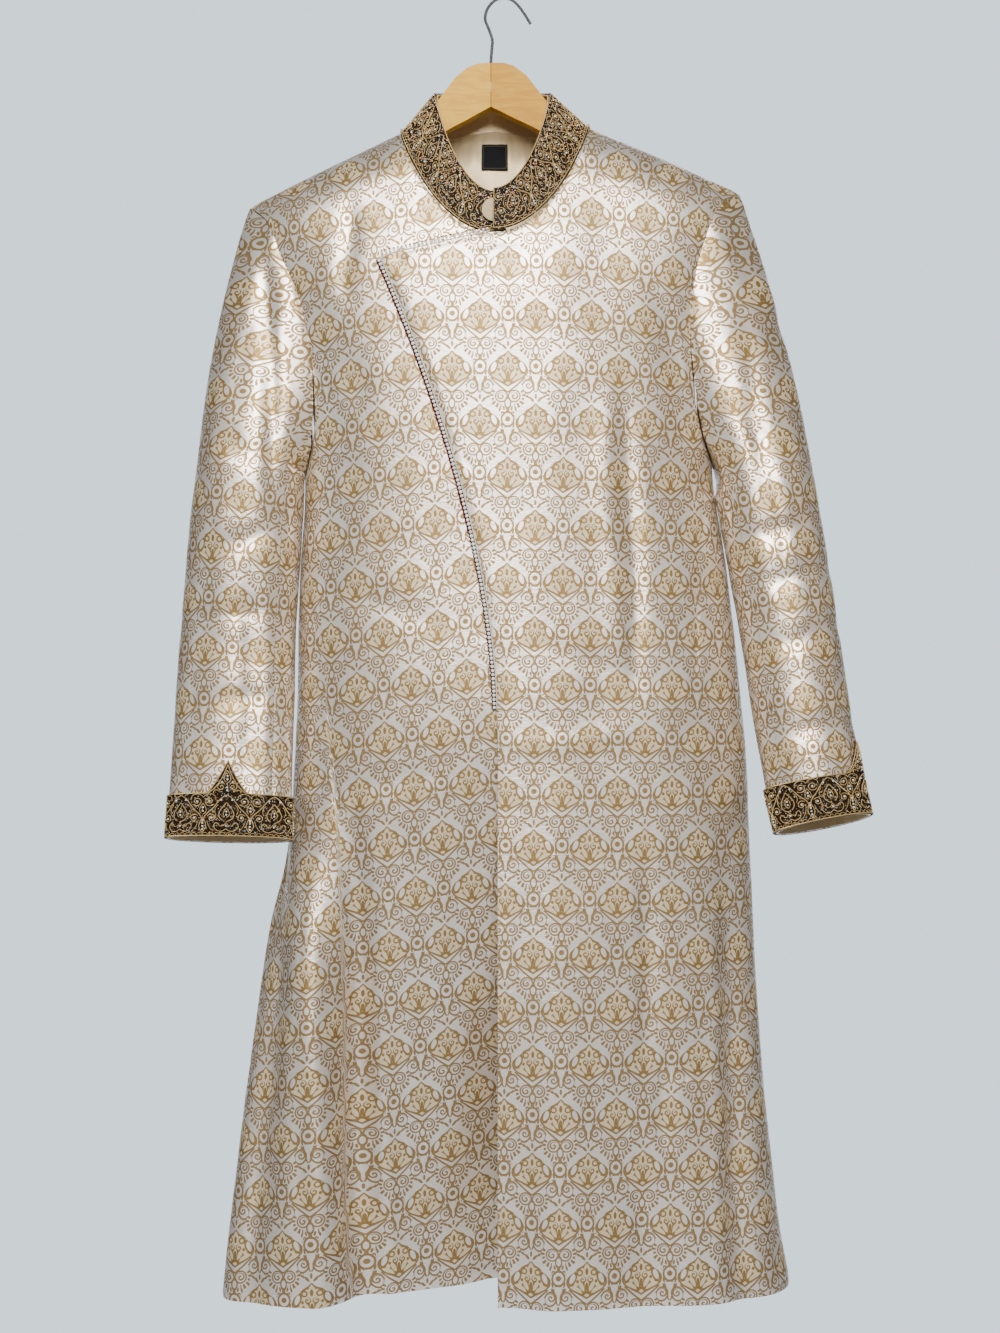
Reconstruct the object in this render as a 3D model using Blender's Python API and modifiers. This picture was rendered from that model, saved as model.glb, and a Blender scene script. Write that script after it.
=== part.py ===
"""A sherwani coat on a wooden hanger, built as its cut pieces.

Axes: +X towards the wearer's left, -Y out of the coat's front, +Z up.
Origin: the inside top of the hanger's hook, where the rail or nail bears.
Across the coat, x is counted from its centre line. Round the body, a place is a turn:
0 at the centre front, +1 or -1 at the left or right side seam, 2 at the centre back.
"""
from collections import namedtuple
from math import asin, cos, pi, radians, sin, sqrt

import bmesh
import bpy
from mathutils import Vector

# Driving dimensions, in metres
COAT_X = -0.010              # the coat's centre line, from the hook's bearing point
HEM_Z = -1.222
WALL = 0.002                 # brocade with its interlining
SEAM_GAP = 0.0003
RIDGE_TOP_Z = -0.0875        # where the two shoulder lines would meet
SHOULDER_SLOPE = 0.45
RIDGE_ROUND = 0.020
SHOULDER_TILT = 0.028        # the coat hangs a little lower on its right side
SHOULDER_ROUND = 0.050       # how far below its ridge a shoulder is still rounding
SHOULDER_HALF = 0.2345
ARMHOLE_DEPTH = 0.262
SLIT_TOP_Z = -0.679
SLIT_X = 0.003               # the left front's free edge below the slit's top
FLAP_CORNER_X = -0.105
FLAP_CORNER_Z = -0.2607
FLAP_CURVE = 1.7
FLAP_LIFT = 0.0045           # how far the flap stands out of the right front
FLAP_LIFT_FROM, FLAP_LIFT_TO = 0.035, 0.120  # the x between which the left front settles back
UNDERLAP = 0.030
NECK_HALF = 0.090
NECK_FRONT_Z = -0.238
NECK_BACK_Z = -0.122
NECK_BACK_DIP = 0.008        # how far it sinks between the centre back and the shoulder
NECK_ROUND = 1.6
COLLAR_TOP_LEFT = 0.053
COLLAR_TOP_RIGHT = 0.057
COLLAR_TOP_FRONT_Z = -0.199
COLLAR_TOP_SIDE_Z = -0.091
COLLAR_TOP_BACK_Z = -0.080
COLLAR_TOP_DEPTH = 0.060
COLLAR_TOP_BACK_DEPTH = 0.038
COLLAR_WALL = 0.0022
COLLAR_LIFT = 0.0070         # how far the collar's left end stands out over the button
COLLAR_LIFT_FROM, COLLAR_LIFT_TO = 12.0, 75.0  # the degrees over which that fades
COLLAR_LIFT_AT_BASE = 0.6    # the share of it at the neckline
COLLAR_START, COLLAR_LAP = -1.0, 7.0         # degrees the band's two ends pass the centre front
COLLAR_BASE_ROW = 0.016      # where the band starts, as a fraction of its height
COLLAR_FIRST_ROW = 0.25
LINING_WALL = 0.001
LINING_GAP = 0.0008
COLLAR_LINING_TOP, COLLAR_LINING_BASE = 1.012, 0.11  # its edges, as fractions of the band's height
BACK_LINING_GAP = 0.0022
CUFF_WALL = 0.0016
CUFF_HEIGHT = 0.041
FINIAL_HEIGHT = 0.032
CUFF_ROWS = (1.0, 0.66, 0.33, 0.0)           # its rings, as fractions of its height
CUFF_SLANT = 0.95            # height gained for each unit up the slanting sleeve
TRIM_RADIUS = 0.0015
TRIM_OFFSET = 0.0024
TRIM_STAND = 0.0012          # the gap under the trim's cord
TRIM_NECK_END_X = -0.004     # where the neck trim runs into the collar
LABEL_SIZE = 0.026
LABEL_TOP_Z = -0.128
BUTTON_RADIUS = 0.011
BUTTON_THICKNESS = 0.0022
BUTTON_AT, BUTTON_HEIGHT = -0.5, 0.52         # degrees from the centre front, share of the band's height
BUTTON_SEAT = 0.0021         # the collar curves away under the flat button
WIRE_RADIUS = 0.0015
BORE_TOP_Z = -0.050          # the top of the cutter for the hook's hole
HANGER_X = -0.0135
HANGER_THICKNESS = 0.014
HANGER_SWEEP = 0.045         # how fast the arms come forward as they go outwards
HANGER_BEVEL = 0.0025
SHANK_DEPTH = 0.016          # how far the hook is screwed into the wood

# Grid sizes
ARMHOLE_STEPS = 8
SIDE_STEPS = 12
NECK_STEPS = 6
SHOULDER_STEPS = 7
FLAP_STEPS = 5
NUDGE = 0.002                # the step that a surface's slope is taken over

# Level sections of the body: half widths to the left and right side seam, how far back or
# forward the side seams, the front and the back lie, and how square the outline is.
Section = namedtuple("Section", "z left right left_y right_y front_y back_y square")
BODY = (
    Section(-0.080, 0.236, 0.236, -0.004, -0.004, -0.032, 0.037, 2.4),
    Section(-0.130, 0.239, 0.239, -0.004, -0.004, -0.044, 0.040, 2.4),
    Section(-0.190, 0.241, 0.241, -0.004, -0.004, -0.058, 0.043, 2.4),
    Section(-0.260, 0.226, 0.220, -0.004, -0.004, -0.070, 0.045, 2.4),
    Section(-0.340, 0.213, 0.193, -0.004, -0.004, -0.073, 0.047, 2.4),
    Section(-0.455, 0.208, 0.181, -0.004, -0.004, -0.075, 0.046, 2.4),
    Section(-0.550, 0.222, 0.185, -0.004, -0.004, -0.077, 0.043, 2.4),
    Section(-0.700, 0.238, 0.189, -0.004, -0.005, -0.082, 0.043, 2.5),
    Section(-0.815, 0.243, 0.198, -0.004, -0.011, -0.087, 0.046, 2.6),
    Section(-0.890, 0.247, 0.214, -0.004, -0.020, -0.091, 0.048, 2.6),
    Section(-1.035, 0.256, 0.233, -0.004, -0.036, -0.097, 0.051, 2.7),
    Section(-1.160, 0.270, 0.246, -0.004, -0.052, -0.102, 0.055, 2.8),
    Section(-1.222, 0.281, 0.252, -0.004, -0.058, -0.104, 0.056, 2.8),
)

# The armholes, from the shoulder's tip down: how far out the front edges stand, and how much
# further out the back ones do.
Armhole = namedtuple("Armhole", "below left right back_out")
ARMHOLE = (
    Armhole(0.000, 0.2345, 0.2345, 0.000),
    Armhole(0.020, 0.2115, 0.2145, 0.005),
    Armhole(0.050, 0.1985, 0.2030, 0.008),
    Armhole(0.085, 0.1885, 0.1870, 0.010),
    Armhole(0.130, 0.1840, 0.1755, 0.010),
    Armhole(0.180, 0.1865, 0.1700, 0.008),
    Armhole(0.230, 0.1945, 0.1720, 0.003),
    Armhole(0.262, 0.2080, 0.1810, 0.000),
)

# Level by level down each sleeve: its axis out from the centre line and forward, and its
# half width and half depth across that axis.
Sleeve = namedtuple("Sleeve", "z out forward half_width half_depth")
SLEEVES = {
    "left": (
        Sleeve(-0.470, 0.2550, 0.016, 0.0490, 0.046),
        Sleeve(-0.546, 0.2690, 0.020, 0.0475, 0.044),
        Sleeve(-0.613, 0.2792, 0.026, 0.0465, 0.041),
        Sleeve(-0.699, 0.2909, 0.038, 0.0455, 0.036),
        Sleeve(-0.750, 0.2985, 0.048, 0.0450, 0.031),
        Sleeve(-0.786, 0.3053, 0.058, 0.0445, 0.026),
    ),
    "right": (
        Sleeve(-0.452, 0.2300, 0.016, 0.0520, 0.045),
        Sleeve(-0.521, 0.2365, 0.019, 0.0535, 0.042),
        Sleeve(-0.611, 0.2425, 0.024, 0.0545, 0.037),
        Sleeve(-0.671, 0.2440, 0.033, 0.0560, 0.032),
        Sleeve(-0.746, 0.2455, 0.047, 0.0567, 0.025),
        Sleeve(-0.800, 0.2465, 0.060, 0.0570, 0.019),
    ),
}
CAP_ROWS = (0.0, 0.12, 0.32, 0.55, 0.78)
CAP_BULGE = 0.007
UNDER_BULGE = 0.005
TUBE_ROWS = 8
BODY_CLEARANCE = 0.004
# Round a sleeve, a place is a quarter: 0 outwards, 1 forwards, 2 to the body, 3 backwards.
UPPER_FROM, UPPER_TO, UNDER_TO = -0.75, 1.5, 3.25
FINIAL_AT = {"left": 0.25, "right": 1.0}

# Folds of the skirt: how deep each sinks into the coat at the hem, and where it starts.
Fold = namedtuple("Fold", "face x half_width depth top_z")
FOLDS = (
    Fold("front", 0.142, 0.050, 0.006, -0.72),
    Fold("front", 0.010, 0.045, 0.011, -0.90),
    Fold("back", -0.150, 0.060, -0.010, -0.66),
    Fold("back", -0.062, 0.045, 0.012, -0.60),
    Fold("back", 0.074, 0.050, 0.014, -0.62),
    Fold("back", 0.168, 0.055, -0.009, -0.70),
)
# The right front falls back towards the slit, below a steep fold.
TUCK_TOP_Z = -0.62
TUCK_FOLD_FROM, TUCK_FOLD_TO, TUCK_FOLD_DEPTH = -0.168, -0.100, 0.042
TUCK_SLOPE_DEPTH = 0.042
TUCK_LEAN = 0.030

# A hanger arm's outline, out from the mitre.
Arm = namedtuple("Arm", "out top bottom")
ARM = (
    Arm(0.000, -0.0626, -0.1047),
    Arm(0.012, -0.0630, -0.1110),
    Arm(0.022, -0.0665, -0.1165),
    Arm(0.034, -0.0760, -0.1225),
    Arm(0.048, -0.0945, -0.1300),
    Arm(0.070, -0.1240, -0.1450),
    Arm(0.085, -0.1410, -0.1560),
    Arm(0.100, -0.1465, -0.1650),
    Arm(0.150, -0.1660, -0.1870),
    Arm(0.194, -0.1860, -0.2080),
    Arm(0.202, -0.1930, -0.2080),
)
# The hook's wire, from inside the wood to its tip.
HookPoint = namedtuple("HookPoint", "x z")
HOOK = (
    HookPoint(-0.0135, -0.0780), HookPoint(-0.0135, -0.0600), HookPoint(-0.0125, -0.0460),
    HookPoint(-0.0122, -0.0380), HookPoint(-0.0160, -0.0270), HookPoint(-0.0190, -0.0190),
    HookPoint(-0.0178, -0.0110), HookPoint(-0.0135, -0.0040), HookPoint(-0.0075, 0.0002),
    HookPoint(0.0000, 0.0015), HookPoint(0.0075, -0.0010), HookPoint(0.0135, -0.0065),
    HookPoint(0.0182, -0.0130), HookPoint(0.0220, -0.0190), HookPoint(0.0250, -0.0240),
)

# Colour, roughness and metallic value
Finish = namedtuple("Finish", "colour roughness metallic")
FINISHES = {
    "brocade": Finish((0.66, 0.56, 0.40), 0.50, 0.0),
    "embroidery": Finish((0.20, 0.14, 0.07), 0.55, 0.2),
    "lining": Finish((0.72, 0.63, 0.46), 0.60, 0.0),
    "label": Finish((0.01, 0.01, 0.012), 0.60, 0.0),
    "beads": Finish((0.80, 0.80, 0.78), 0.20, 0.6),
    "wood": Finish((0.78, 0.56, 0.28), 0.45, 0.0),
    "wire": Finish((0.70, 0.70, 0.72), 0.20, 1.0),
}


def clear_scene():
    for item in list(bpy.data.objects):
        bpy.data.objects.remove(item, do_unlink=True)


def collection_named(name):
    found = bpy.data.collections.new(name)
    bpy.context.scene.collection.children.link(found)
    return found


def give_material(item, finish_name):
    """Give an object its own material."""
    finish = FINISHES[finish_name]
    material = bpy.data.materials.new(item.name + "_" + finish_name)
    material.use_nodes = True
    shader = material.node_tree.nodes["Principled BSDF"]
    shader.inputs["Base Color"].default_value = (*finish.colour, 1.0)
    shader.inputs["Roughness"].default_value = finish.roughness
    shader.inputs["Metallic"].default_value = finish.metallic
    item.data.materials.clear()
    item.data.materials.append(material)


# Curves through tables ------------------------------------------------------------------

def smooth_row(rows, key, at):
    """The row of a table at a value of its key column, on a smooth curve through the rows."""
    keys = [getattr(row, key) for row in rows]
    if keys[0] > keys[-1]:
        keys = [-value for value in keys]
        at = -at
    at = min(max(at, keys[0]), keys[-1])
    low = max(i for i in range(len(rows) - 1) if keys[i] <= at)
    span = keys[low + 1] - keys[low]
    t = (at - keys[low]) / span
    values = []
    for column in range(len(rows[0])):
        a, b = rows[low][column], rows[low + 1][column]
        slope_a = slope_b = (b - a) / span
        if low > 0:
            slope_a = (b - rows[low - 1][column]) / (keys[low + 1] - keys[low - 1])
        if low + 2 < len(rows):
            slope_b = (rows[low + 2][column] - a) / (keys[low + 2] - keys[low])
        values.append(
            (2 * t**3 - 3 * t**2 + 1) * a + (t**3 - 2 * t**2 + t) * span * slope_a
            + (3 * t**2 - 2 * t**3) * b + (t**3 - t**2) * span * slope_b
        )
    return type(rows[0])(*values)


def ramp(value, start, end):
    """0 before start, 1 after end and smooth between."""
    t = min(max((value - start) / (end - start), 0.0), 1.0)
    return t * t * (3.0 - 2.0 * t)


def mix(a, b, t):
    return a + (b - a) * t


def limit(value, low=0.0, high=1.0):
    return min(max(value, low), high)


# The body's surface ---------------------------------------------------------------------

def ridge_z(x):
    """The height of the shoulder line, rounded over at the neck."""
    return RIDGE_TOP_Z - SHOULDER_SLOPE * sqrt(x**2 + RIDGE_ROUND**2) + SHOULDER_TILT * x


def tip_z(side):
    return ridge_z(SHOULDER_HALF * side)


def half_width(section, side):
    return section.left if side > 0 else section.right


def turn_at(x, z, back=False):
    """The turn at which the body's surface stands at x on a level."""
    section = smooth_row(BODY, "z", z)
    side = 1 if x >= 0 else -1
    reach = limit(abs(x) / half_width(section, side))
    turn = asin(reach ** (section.square / 2)) / (pi / 2)
    return side * (2.0 - turn if back else turn)


def fold_depth(face, x, z):
    """How far the skirt's folds sink into the coat."""
    total = 0.0
    for fold in FOLDS:
        if fold.face == face:
            across = limit(abs(x - fold.x) / fold.half_width)
            total += fold.depth * (1 + cos(pi * across)) / 2 * ramp(z, fold.top_z, HEM_Z)
    return total


def tuck_depth(x, z):
    """How far the right front falls back below its fold."""
    growth = ramp(z, TUCK_TOP_Z, HEM_Z)
    x = x + TUCK_LEAN * (1 - growth) * limit(-x / -TUCK_FOLD_TO)
    fold = TUCK_FOLD_DEPTH * ramp(x, TUCK_FOLD_FROM, TUCK_FOLD_TO)
    slope = TUCK_SLOPE_DEPTH * limit((x - TUCK_FOLD_TO) / -TUCK_FOLD_TO)
    return growth * (fold + slope)


def body_point(turn, z, outward=0.0, tucked=False):
    """A point of the body's outer surface, moved out of the front by outward."""
    section = smooth_row(BODY, "z", z)
    side = 1 if turn >= 0 else -1
    angle = abs(turn) * pi / 2
    front = abs(turn) <= 1
    x = side * half_width(section, side) * abs(sin(angle)) ** (2 / section.square)
    side_y = section.left_y if side > 0 else section.right_y
    face_y = section.front_y if front else section.back_y
    below = limit((ridge_z(x) - z) / SHOULDER_ROUND)
    rounding = sqrt(1 - (1 - below) ** 2)
    facing = abs(cos(angle)) ** (2 / section.square)
    y = side_y + (face_y - side_y) * facing * rounding
    inwards = 1 if front else -1
    y += inwards * fold_depth("front" if front else "back", x, z) * facing
    if tucked:
        y += tuck_depth(x, z)
    return Vector((COAT_X + x, y - outward * facing, z))


def neck_point(angle, back=False):
    """The neckline's x and z, at an angle from the centre line, positive to the left."""
    side = 1 if angle >= 0 else -1
    x = NECK_HALF * sin(angle)
    point_z = ridge_z(side * NECK_HALF)
    if back:
        dip = NECK_BACK_DIP * abs(sin(2 * angle)) ** 1.5
        return x, mix(point_z, NECK_BACK_Z, cos(angle)) - dip
    return x, point_z + (NECK_FRONT_Z - point_z) * cos(angle) ** NECK_ROUND


def armhole_fraction(step):
    """How far down the armhole a step lies, closer together at both ends."""
    return (1 - cos(pi * step / ARMHOLE_STEPS)) / 2


def armhole_turn(side, z, back):
    """The turn of the armhole's edge on a level, or of the side seam below it."""
    below = tip_z(side) - z
    if below >= ARMHOLE_DEPTH - 1e-9:
        return side * 1.0
    row = smooth_row(ARMHOLE, "below", below)
    out = row.left if side > 0 else row.right
    return turn_at(side * (out + row.back_out if back else out), z, back)


def flap_lift(x):
    """How far the left front stands out to pass over the right one."""
    return FLAP_LIFT * (1 - ramp(x, FLAP_LIFT_FROM, FLAP_LIFT_TO))


def flap_edge_x(z):
    """The free edge of the left front."""
    down = limit((FLAP_CORNER_Z - z) / (FLAP_CORNER_Z - SLIT_TOP_Z))
    return SLIT_X + (FLAP_CORNER_X - SLIT_X) * (1 - down) ** FLAP_CURVE


# Panels ---------------------------------------------------------------------------------
# A panel is a patch. Its columns run across from s = 0 to 1, and its rows go down from the
# top line to the hem at r = 0 to 1, where the fraction of the way down is r squared.

def row_levels(side):
    """The rows' r values: the armhole's steps, then even steps down the side seam."""
    drop = tip_z(side) - HEM_Z
    fractions = [armhole_fraction(k) * ARMHOLE_DEPTH / drop for k in range(ARMHOLE_STEPS)]
    start = ARMHOLE_DEPTH / drop
    fractions += [mix(start, 1.0, k / SIDE_STEPS) for k in range(SIDE_STEPS + 1)]
    return [sqrt(fraction) for fraction in fractions]


def stretches(*counts):
    """Even steps along each stretch of a panel's top line, as the columns' s values."""
    total = sum(counts)
    return [k / total for k in range(total + 1)]


def patch(top, first_edge, last_edge, first_end, last_start, place):
    """A panel's surface from its top line and its two edges.

    Near the top an edge's own shape only moves the columns up to first_end or from last_start.
    """
    def point(s, r):
        down = r * r
        turn_top, z_top = top(s)
        z = mix(z_top, HEM_Z, down)
        first = first_edge(mix(top(0.0)[1], HEM_Z, down))
        last = last_edge(mix(top(1.0)[1], HEM_Z, down))
        near_top = turn_top + (first - top(0.0)[0]) * limit(1 - s / first_end)
        near_top += (last - top(1.0)[0]) * limit((s - last_start) / (1 - last_start))
        return place(mix(mix(first, last, s), near_top, (1 - down) ** 3), z)
    return point


def slope_normal(point, s, r):
    """The direction out of a patch, from its own slopes."""
    s_low, s_high = max(s - NUDGE, 0.0), min(s + NUDGE, 1.0)
    r_low, r_high = max(r - NUDGE, 0.0), min(r + NUDGE, 1.0)
    across = point(s_high, r) - point(s_low, r)
    down = point(s, r_high) - point(s, r_low)
    return down.cross(across).normalized()


def grid_of(function, columns, rows):
    return [[function(s, r) for s in columns] for r in rows]


def pull_from_seams(outer, inner):
    """Draw a grid's border in by half a seam's gap, towards the next row or column."""
    rows, columns = len(outer), len(outer[0])
    moves = {}
    for i in range(rows):
        for j in range(columns):
            for border, next_i, next_j in ((i == 0, i + 1, j), (i == rows - 1, i - 1, j),
                                           (j == 0, i, j + 1), (j == columns - 1, i, j - 1)):
                if border:
                    step = (outer[next_i][next_j] - outer[i][j]).normalized()
                    moves[i, j] = moves.get((i, j), Vector()) + step * SEAM_GAP / 2
    for (i, j), move in moves.items():
        outer[i][j] = outer[i][j] + move
        inner[i][j] = inner[i][j] + move


def cloth_piece(name, finish, outer, inner, closed=False):
    """A solid wall between two grids of points; closed joins the last column to the first."""
    rows, columns = len(outer), len(outer[0])
    mesh = bmesh.new()
    skins = [[[mesh.verts.new(p) for p in row] for row in grid] for grid in (outer, inner)]
    across = columns if closed else columns - 1
    for skin in skins:
        for i in range(rows - 1):
            for j in range(across):
                k = (j + 1) % columns
                mesh.faces.new((skin[i][j], skin[i][k], skin[i + 1][k], skin[i + 1][j]))
    front, back = skins
    rims = [[(front[i][j], back[i][j]) for j in range(columns)] for i in (0, rows - 1)]
    if not closed:
        rims += [[(front[i][j], back[i][j]) for i in range(rows)] for j in (0, columns - 1)]
    for rim in rims:
        loop = rim + rim[:1] if closed else rim
        for (a, b), (c, d) in zip(loop, loop[1:]):
            mesh.faces.new((a, b, d, c))
    bmesh.ops.recalc_face_normals(mesh, faces=mesh.faces)
    data = bpy.data.meshes.new(name)
    mesh.to_mesh(data)
    mesh.free()
    data.shade_smooth()
    data.set_sharp_from_angle(angle=radians(50))
    item = bpy.data.objects.new(name, data)
    PARTS.objects.link(item)
    give_material(item, finish)
    return item


def wall_grids(point, columns, rows, wall):
    """A patch's outer and inner skins."""
    outer = grid_of(point, columns, rows)
    inner = [[p - slope_normal(point, s, r) * wall for p, s in zip(line, columns)]
             for line, r in zip(outer, rows)]
    pull_from_seams(outer, inner)
    return outer, inner


def shoulder_line(x):
    z = ridge_z(x)
    return turn_at(x, z), z


def along(s, *stretch_ends):
    """Which stretch of a top line s is in, and how far along it."""
    start = 0.0
    for index, end in enumerate(stretch_ends):
        if s <= end or index == len(stretch_ends) - 1:
            return index, (s - start) / (end - start)
        start = end
    return None


def front_left_patch():
    total = FLAP_STEPS + NECK_STEPS + SHOULDER_STEPS
    ends = (FLAP_STEPS / total, (FLAP_STEPS + NECK_STEPS) / total, 1.0)

    def top(s):
        stretch, t = along(s, *ends)
        if stretch == 0:
            x, z = mix(FLAP_CORNER_X, 0.0, t), mix(FLAP_CORNER_Z, NECK_FRONT_Z, t)
        elif stretch == 1:
            x, z = neck_point(t * pi / 2)
        else:
            return shoulder_line(mix(NECK_HALF, SHOULDER_HALF, t))
        return turn_at(x, z), z

    def place(turn, z):
        bare = body_point(turn, z)
        return body_point(turn, z, outward=flap_lift(bare.x - COAT_X))

    return patch(
        top, lambda z: turn_at(flap_edge_x(z), z), lambda z: armhole_turn(1, z, False),
        ends[0], ends[1], place,
    )


def front_right_patch():
    total = SHOULDER_STEPS + NECK_STEPS + 1
    ends = (SHOULDER_STEPS / total, (SHOULDER_STEPS + NECK_STEPS) / total, 1.0)

    def top(s):
        stretch, t = along(s, *ends)
        if stretch == 0:
            return shoulder_line(-mix(SHOULDER_HALF, NECK_HALF, t))
        if stretch == 1:
            x, z = neck_point(-(1 - t) * pi / 2)
        else:
            x, z = mix(0.0, UNDERLAP, t), NECK_FRONT_Z
        return turn_at(x, z), z

    def inner_x(z):
        return mix(UNDERLAP, UNDERLAP / 2, ramp(z, SLIT_TOP_Z, HEM_Z))

    return patch(
        top, lambda z: armhole_turn(-1, z, False), lambda z: turn_at(inner_x(z), z),
        ends[0], ends[1], lambda turn, z: body_point(turn, z, tucked=True),
    )


def back_patch(side):
    """One back: s = 0 at the centre back on the left piece, and at the side on the right."""
    total = NECK_STEPS + SHOULDER_STEPS
    end = NECK_STEPS / total

    def top_out(s):
        stretch, t = along(s, end, 1.0)
        if stretch == 0:
            x, z = neck_point(side * t * pi / 2, back=True)
            return (side * 2.0 if t == 0 else turn_at(x, z, True)), z
        turn, z = shoulder_line(side * mix(NECK_HALF, SHOULDER_HALF, t))
        return side * 2 - turn, z

    centre = (lambda z: side * 2.0)
    edge = (lambda z: armhole_turn(side, z, True))
    if side < 0:
        return patch(top_out, centre, edge, end, end, body_point)
    return patch(lambda s: top_out(1 - s), edge, centre, 1 - end, 1 - end, body_point)


def build_fronts_and_backs():
    rows = {side: row_levels(side) for side in (1, -1)}
    left = front_left_patch()
    columns = stretches(FLAP_STEPS, NECK_STEPS, SHOULDER_STEPS)
    cloth_piece("front_left", "brocade", *wall_grids(left, columns, rows[1], WALL))
    right = front_right_patch()
    columns = stretches(SHOULDER_STEPS, NECK_STEPS, 1)
    cloth_piece("front_right", "brocade", *wall_grids(right, columns, rows[-1], WALL))
    columns = stretches(NECK_STEPS, SHOULDER_STEPS)
    for side, name in ((1, "back_left"), (-1, "back_right")):
        across = [1 - s for s in reversed(columns)] if side > 0 else columns
        grids = wall_grids(back_patch(side), across, rows[side], WALL)
        cloth_piece(name, "brocade", *grids)


# Sleeves --------------------------------------------------------------------------------

def armhole_ring(side):
    """The armhole's points, the body's normals there and the directions into the hole."""
    fronts = front_left_patch() if side > 0 else front_right_patch()
    backs = back_patch(side)
    front_s, back_s = (1.0, 0.0) if side > 0 else (0.0, 1.0)
    rows = row_levels(side)
    points, normals = [], []
    for k in range(2 * ARMHOLE_STEPS):
        use_back = k > ARMHOLE_STEPS
        surface, s = (backs, back_s) if use_back else (fronts, front_s)
        r = rows[2 * ARMHOLE_STEPS - k if use_back else k]
        points.append(surface(s, r))
        normal = slope_normal(surface, s, r)
        if k in (0, ARMHOLE_STEPS):
            normal = (normal + slope_normal(backs, back_s, r)).normalized()
        normals.append(normal)
    middle = sum(points, Vector()) / len(points)
    ring = []
    for k, (point, normal) in enumerate(zip(points, normals)):
        along_edge = (points[(k + 1) % len(points)] - points[k - 1]).normalized()
        into = middle - point
        into = into - normal * into.dot(normal) - along_edge * into.dot(along_edge)
        ring.append((point, normal, into.normalized()))
    return ring


def sleeve_axis(name, z):
    side = 1 if name == "left" else -1
    row = smooth_row(SLEEVES[name], "z", z)
    return Vector((COAT_X + side * row.out, -row.forward, z)), row


def clear_of_body(point, side, clearance=BODY_CLEARANCE):
    """Move a sleeve's point outwards where it would touch the body."""
    section = smooth_row(BODY, "z", point.z)
    side_y = section.left_y if side > 0 else section.right_y
    face_y = section.front_y if point.y < side_y else section.back_y
    reach = (point.y - side_y) / (face_y - side_y)
    if reach < 1:
        nearest = half_width(section, side) * (1 - reach**section.square) ** (1 / section.square)
        out = side * (point.x - COAT_X)
        point.x = COAT_X + side * max(out, nearest + clearance)
    return point


def sleeve_tube_point(name, quarter, z):
    """A point of a sleeve below its cap; its rings stand square to its axis."""
    side = 1 if name == "left" else -1
    centre, row = sleeve_axis(name, z)
    table = SLEEVES[name]
    z_low, z_high = max(z - NUDGE, table[-1].z), min(z + NUDGE, table[0].z)
    axis = (sleeve_axis(name, z_low)[0] - sleeve_axis(name, z_high)[0]).normalized()
    forward = Vector((0.0, -1.0, 0.0))
    outward = forward.cross(axis).normalized() * side
    if outward.x * side < 0:
        outward = -outward
    forward = outward.cross(axis).normalized()
    if forward.y > 0:
        forward = -forward
    angle = quarter * pi / 2
    point = centre + outward * row.half_width * cos(angle) + forward * row.half_depth * sin(angle)
    return clear_of_body(point, side)


def sleeve_rows(name):
    table = SLEEVES[name]
    return [mix(table[0].z, table[-1].z, k / TUBE_ROWS) for k in range(TUBE_ROWS + 1)]


def sleeve_normal(name, quarter, z):
    table = SLEEVES[name]
    z_low, z_high = max(z - NUDGE, table[-1].z), min(z + NUDGE, table[0].z)
    around = (sleeve_tube_point(name, quarter + NUDGE, z)
              - sleeve_tube_point(name, quarter - NUDGE, z))
    down = sleeve_tube_point(name, quarter, z_low) - sleeve_tube_point(name, quarter, z_high)
    normal = around.cross(down).normalized()
    centre = sleeve_axis(name, z)[0]
    away = sleeve_tube_point(name, quarter, z) - centre
    return normal if normal.dot(away) > 0 else -normal


def cap_grids(name, quarters):
    """The rows from the armhole to the sleeve's first ring."""
    side = 1 if name == "left" else -1
    ring = armhole_ring(side)
    top_z = SLEEVES[name][0].z
    outer, inner = [], []
    for w in CAP_ROWS:
        line_out, line_in = [], []
        for quarter in quarters:
            start, body_normal, into = ring[round(quarter * 4) % len(ring)]
            end = sleeve_tube_point(name, quarter, top_z)
            inwards = -sleeve_normal(name, quarter, top_z)
            under = max(-cos(quarter * pi / 2), 0.0)
            bulge = mix(CAP_BULGE, UNDER_BULGE, ramp(under, 0.0, 0.3)) * 4 * w * (1 - w)
            bulge *= abs(cos(quarter * pi / 2))
            point = start.lerp(end, w) + Vector((side * bulge, 0.0, 0.0))
            if w > 0 and under > 0.3:
                point = clear_of_body(point, side, BODY_CLEARANCE * ramp(w, -0.2, 0.6))
            start_inwards = (-body_normal).lerp(into, ramp(under, 0.0, 0.7))
            line_out.append(point)
            line_in.append(point + start_inwards.lerp(inwards, w).normalized() * WALL)
        outer.append(line_out)
        inner.append(line_in)
    return outer, inner


def build_sleeves():
    for name in ("left", "right"):
        for label, start, end in (("upper", UPPER_FROM, UPPER_TO), ("under", UPPER_TO, UNDER_TO)):
            steps = round((end - start) * 4)
            quarters = [start + k / 4 for k in range(steps + 1)]
            outer, inner = cap_grids(name, quarters)
            for z in sleeve_rows(name):
                line = [sleeve_tube_point(name, q, z) for q in quarters]
                outer.append(line)
                inner.append([p - sleeve_normal(name, q, z) * WALL
                              for p, q in zip(line, quarters)])
            pull_from_seams(outer, inner)
            cloth_piece("sleeve_" + label + "_" + name, "brocade", outer, inner)


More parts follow.
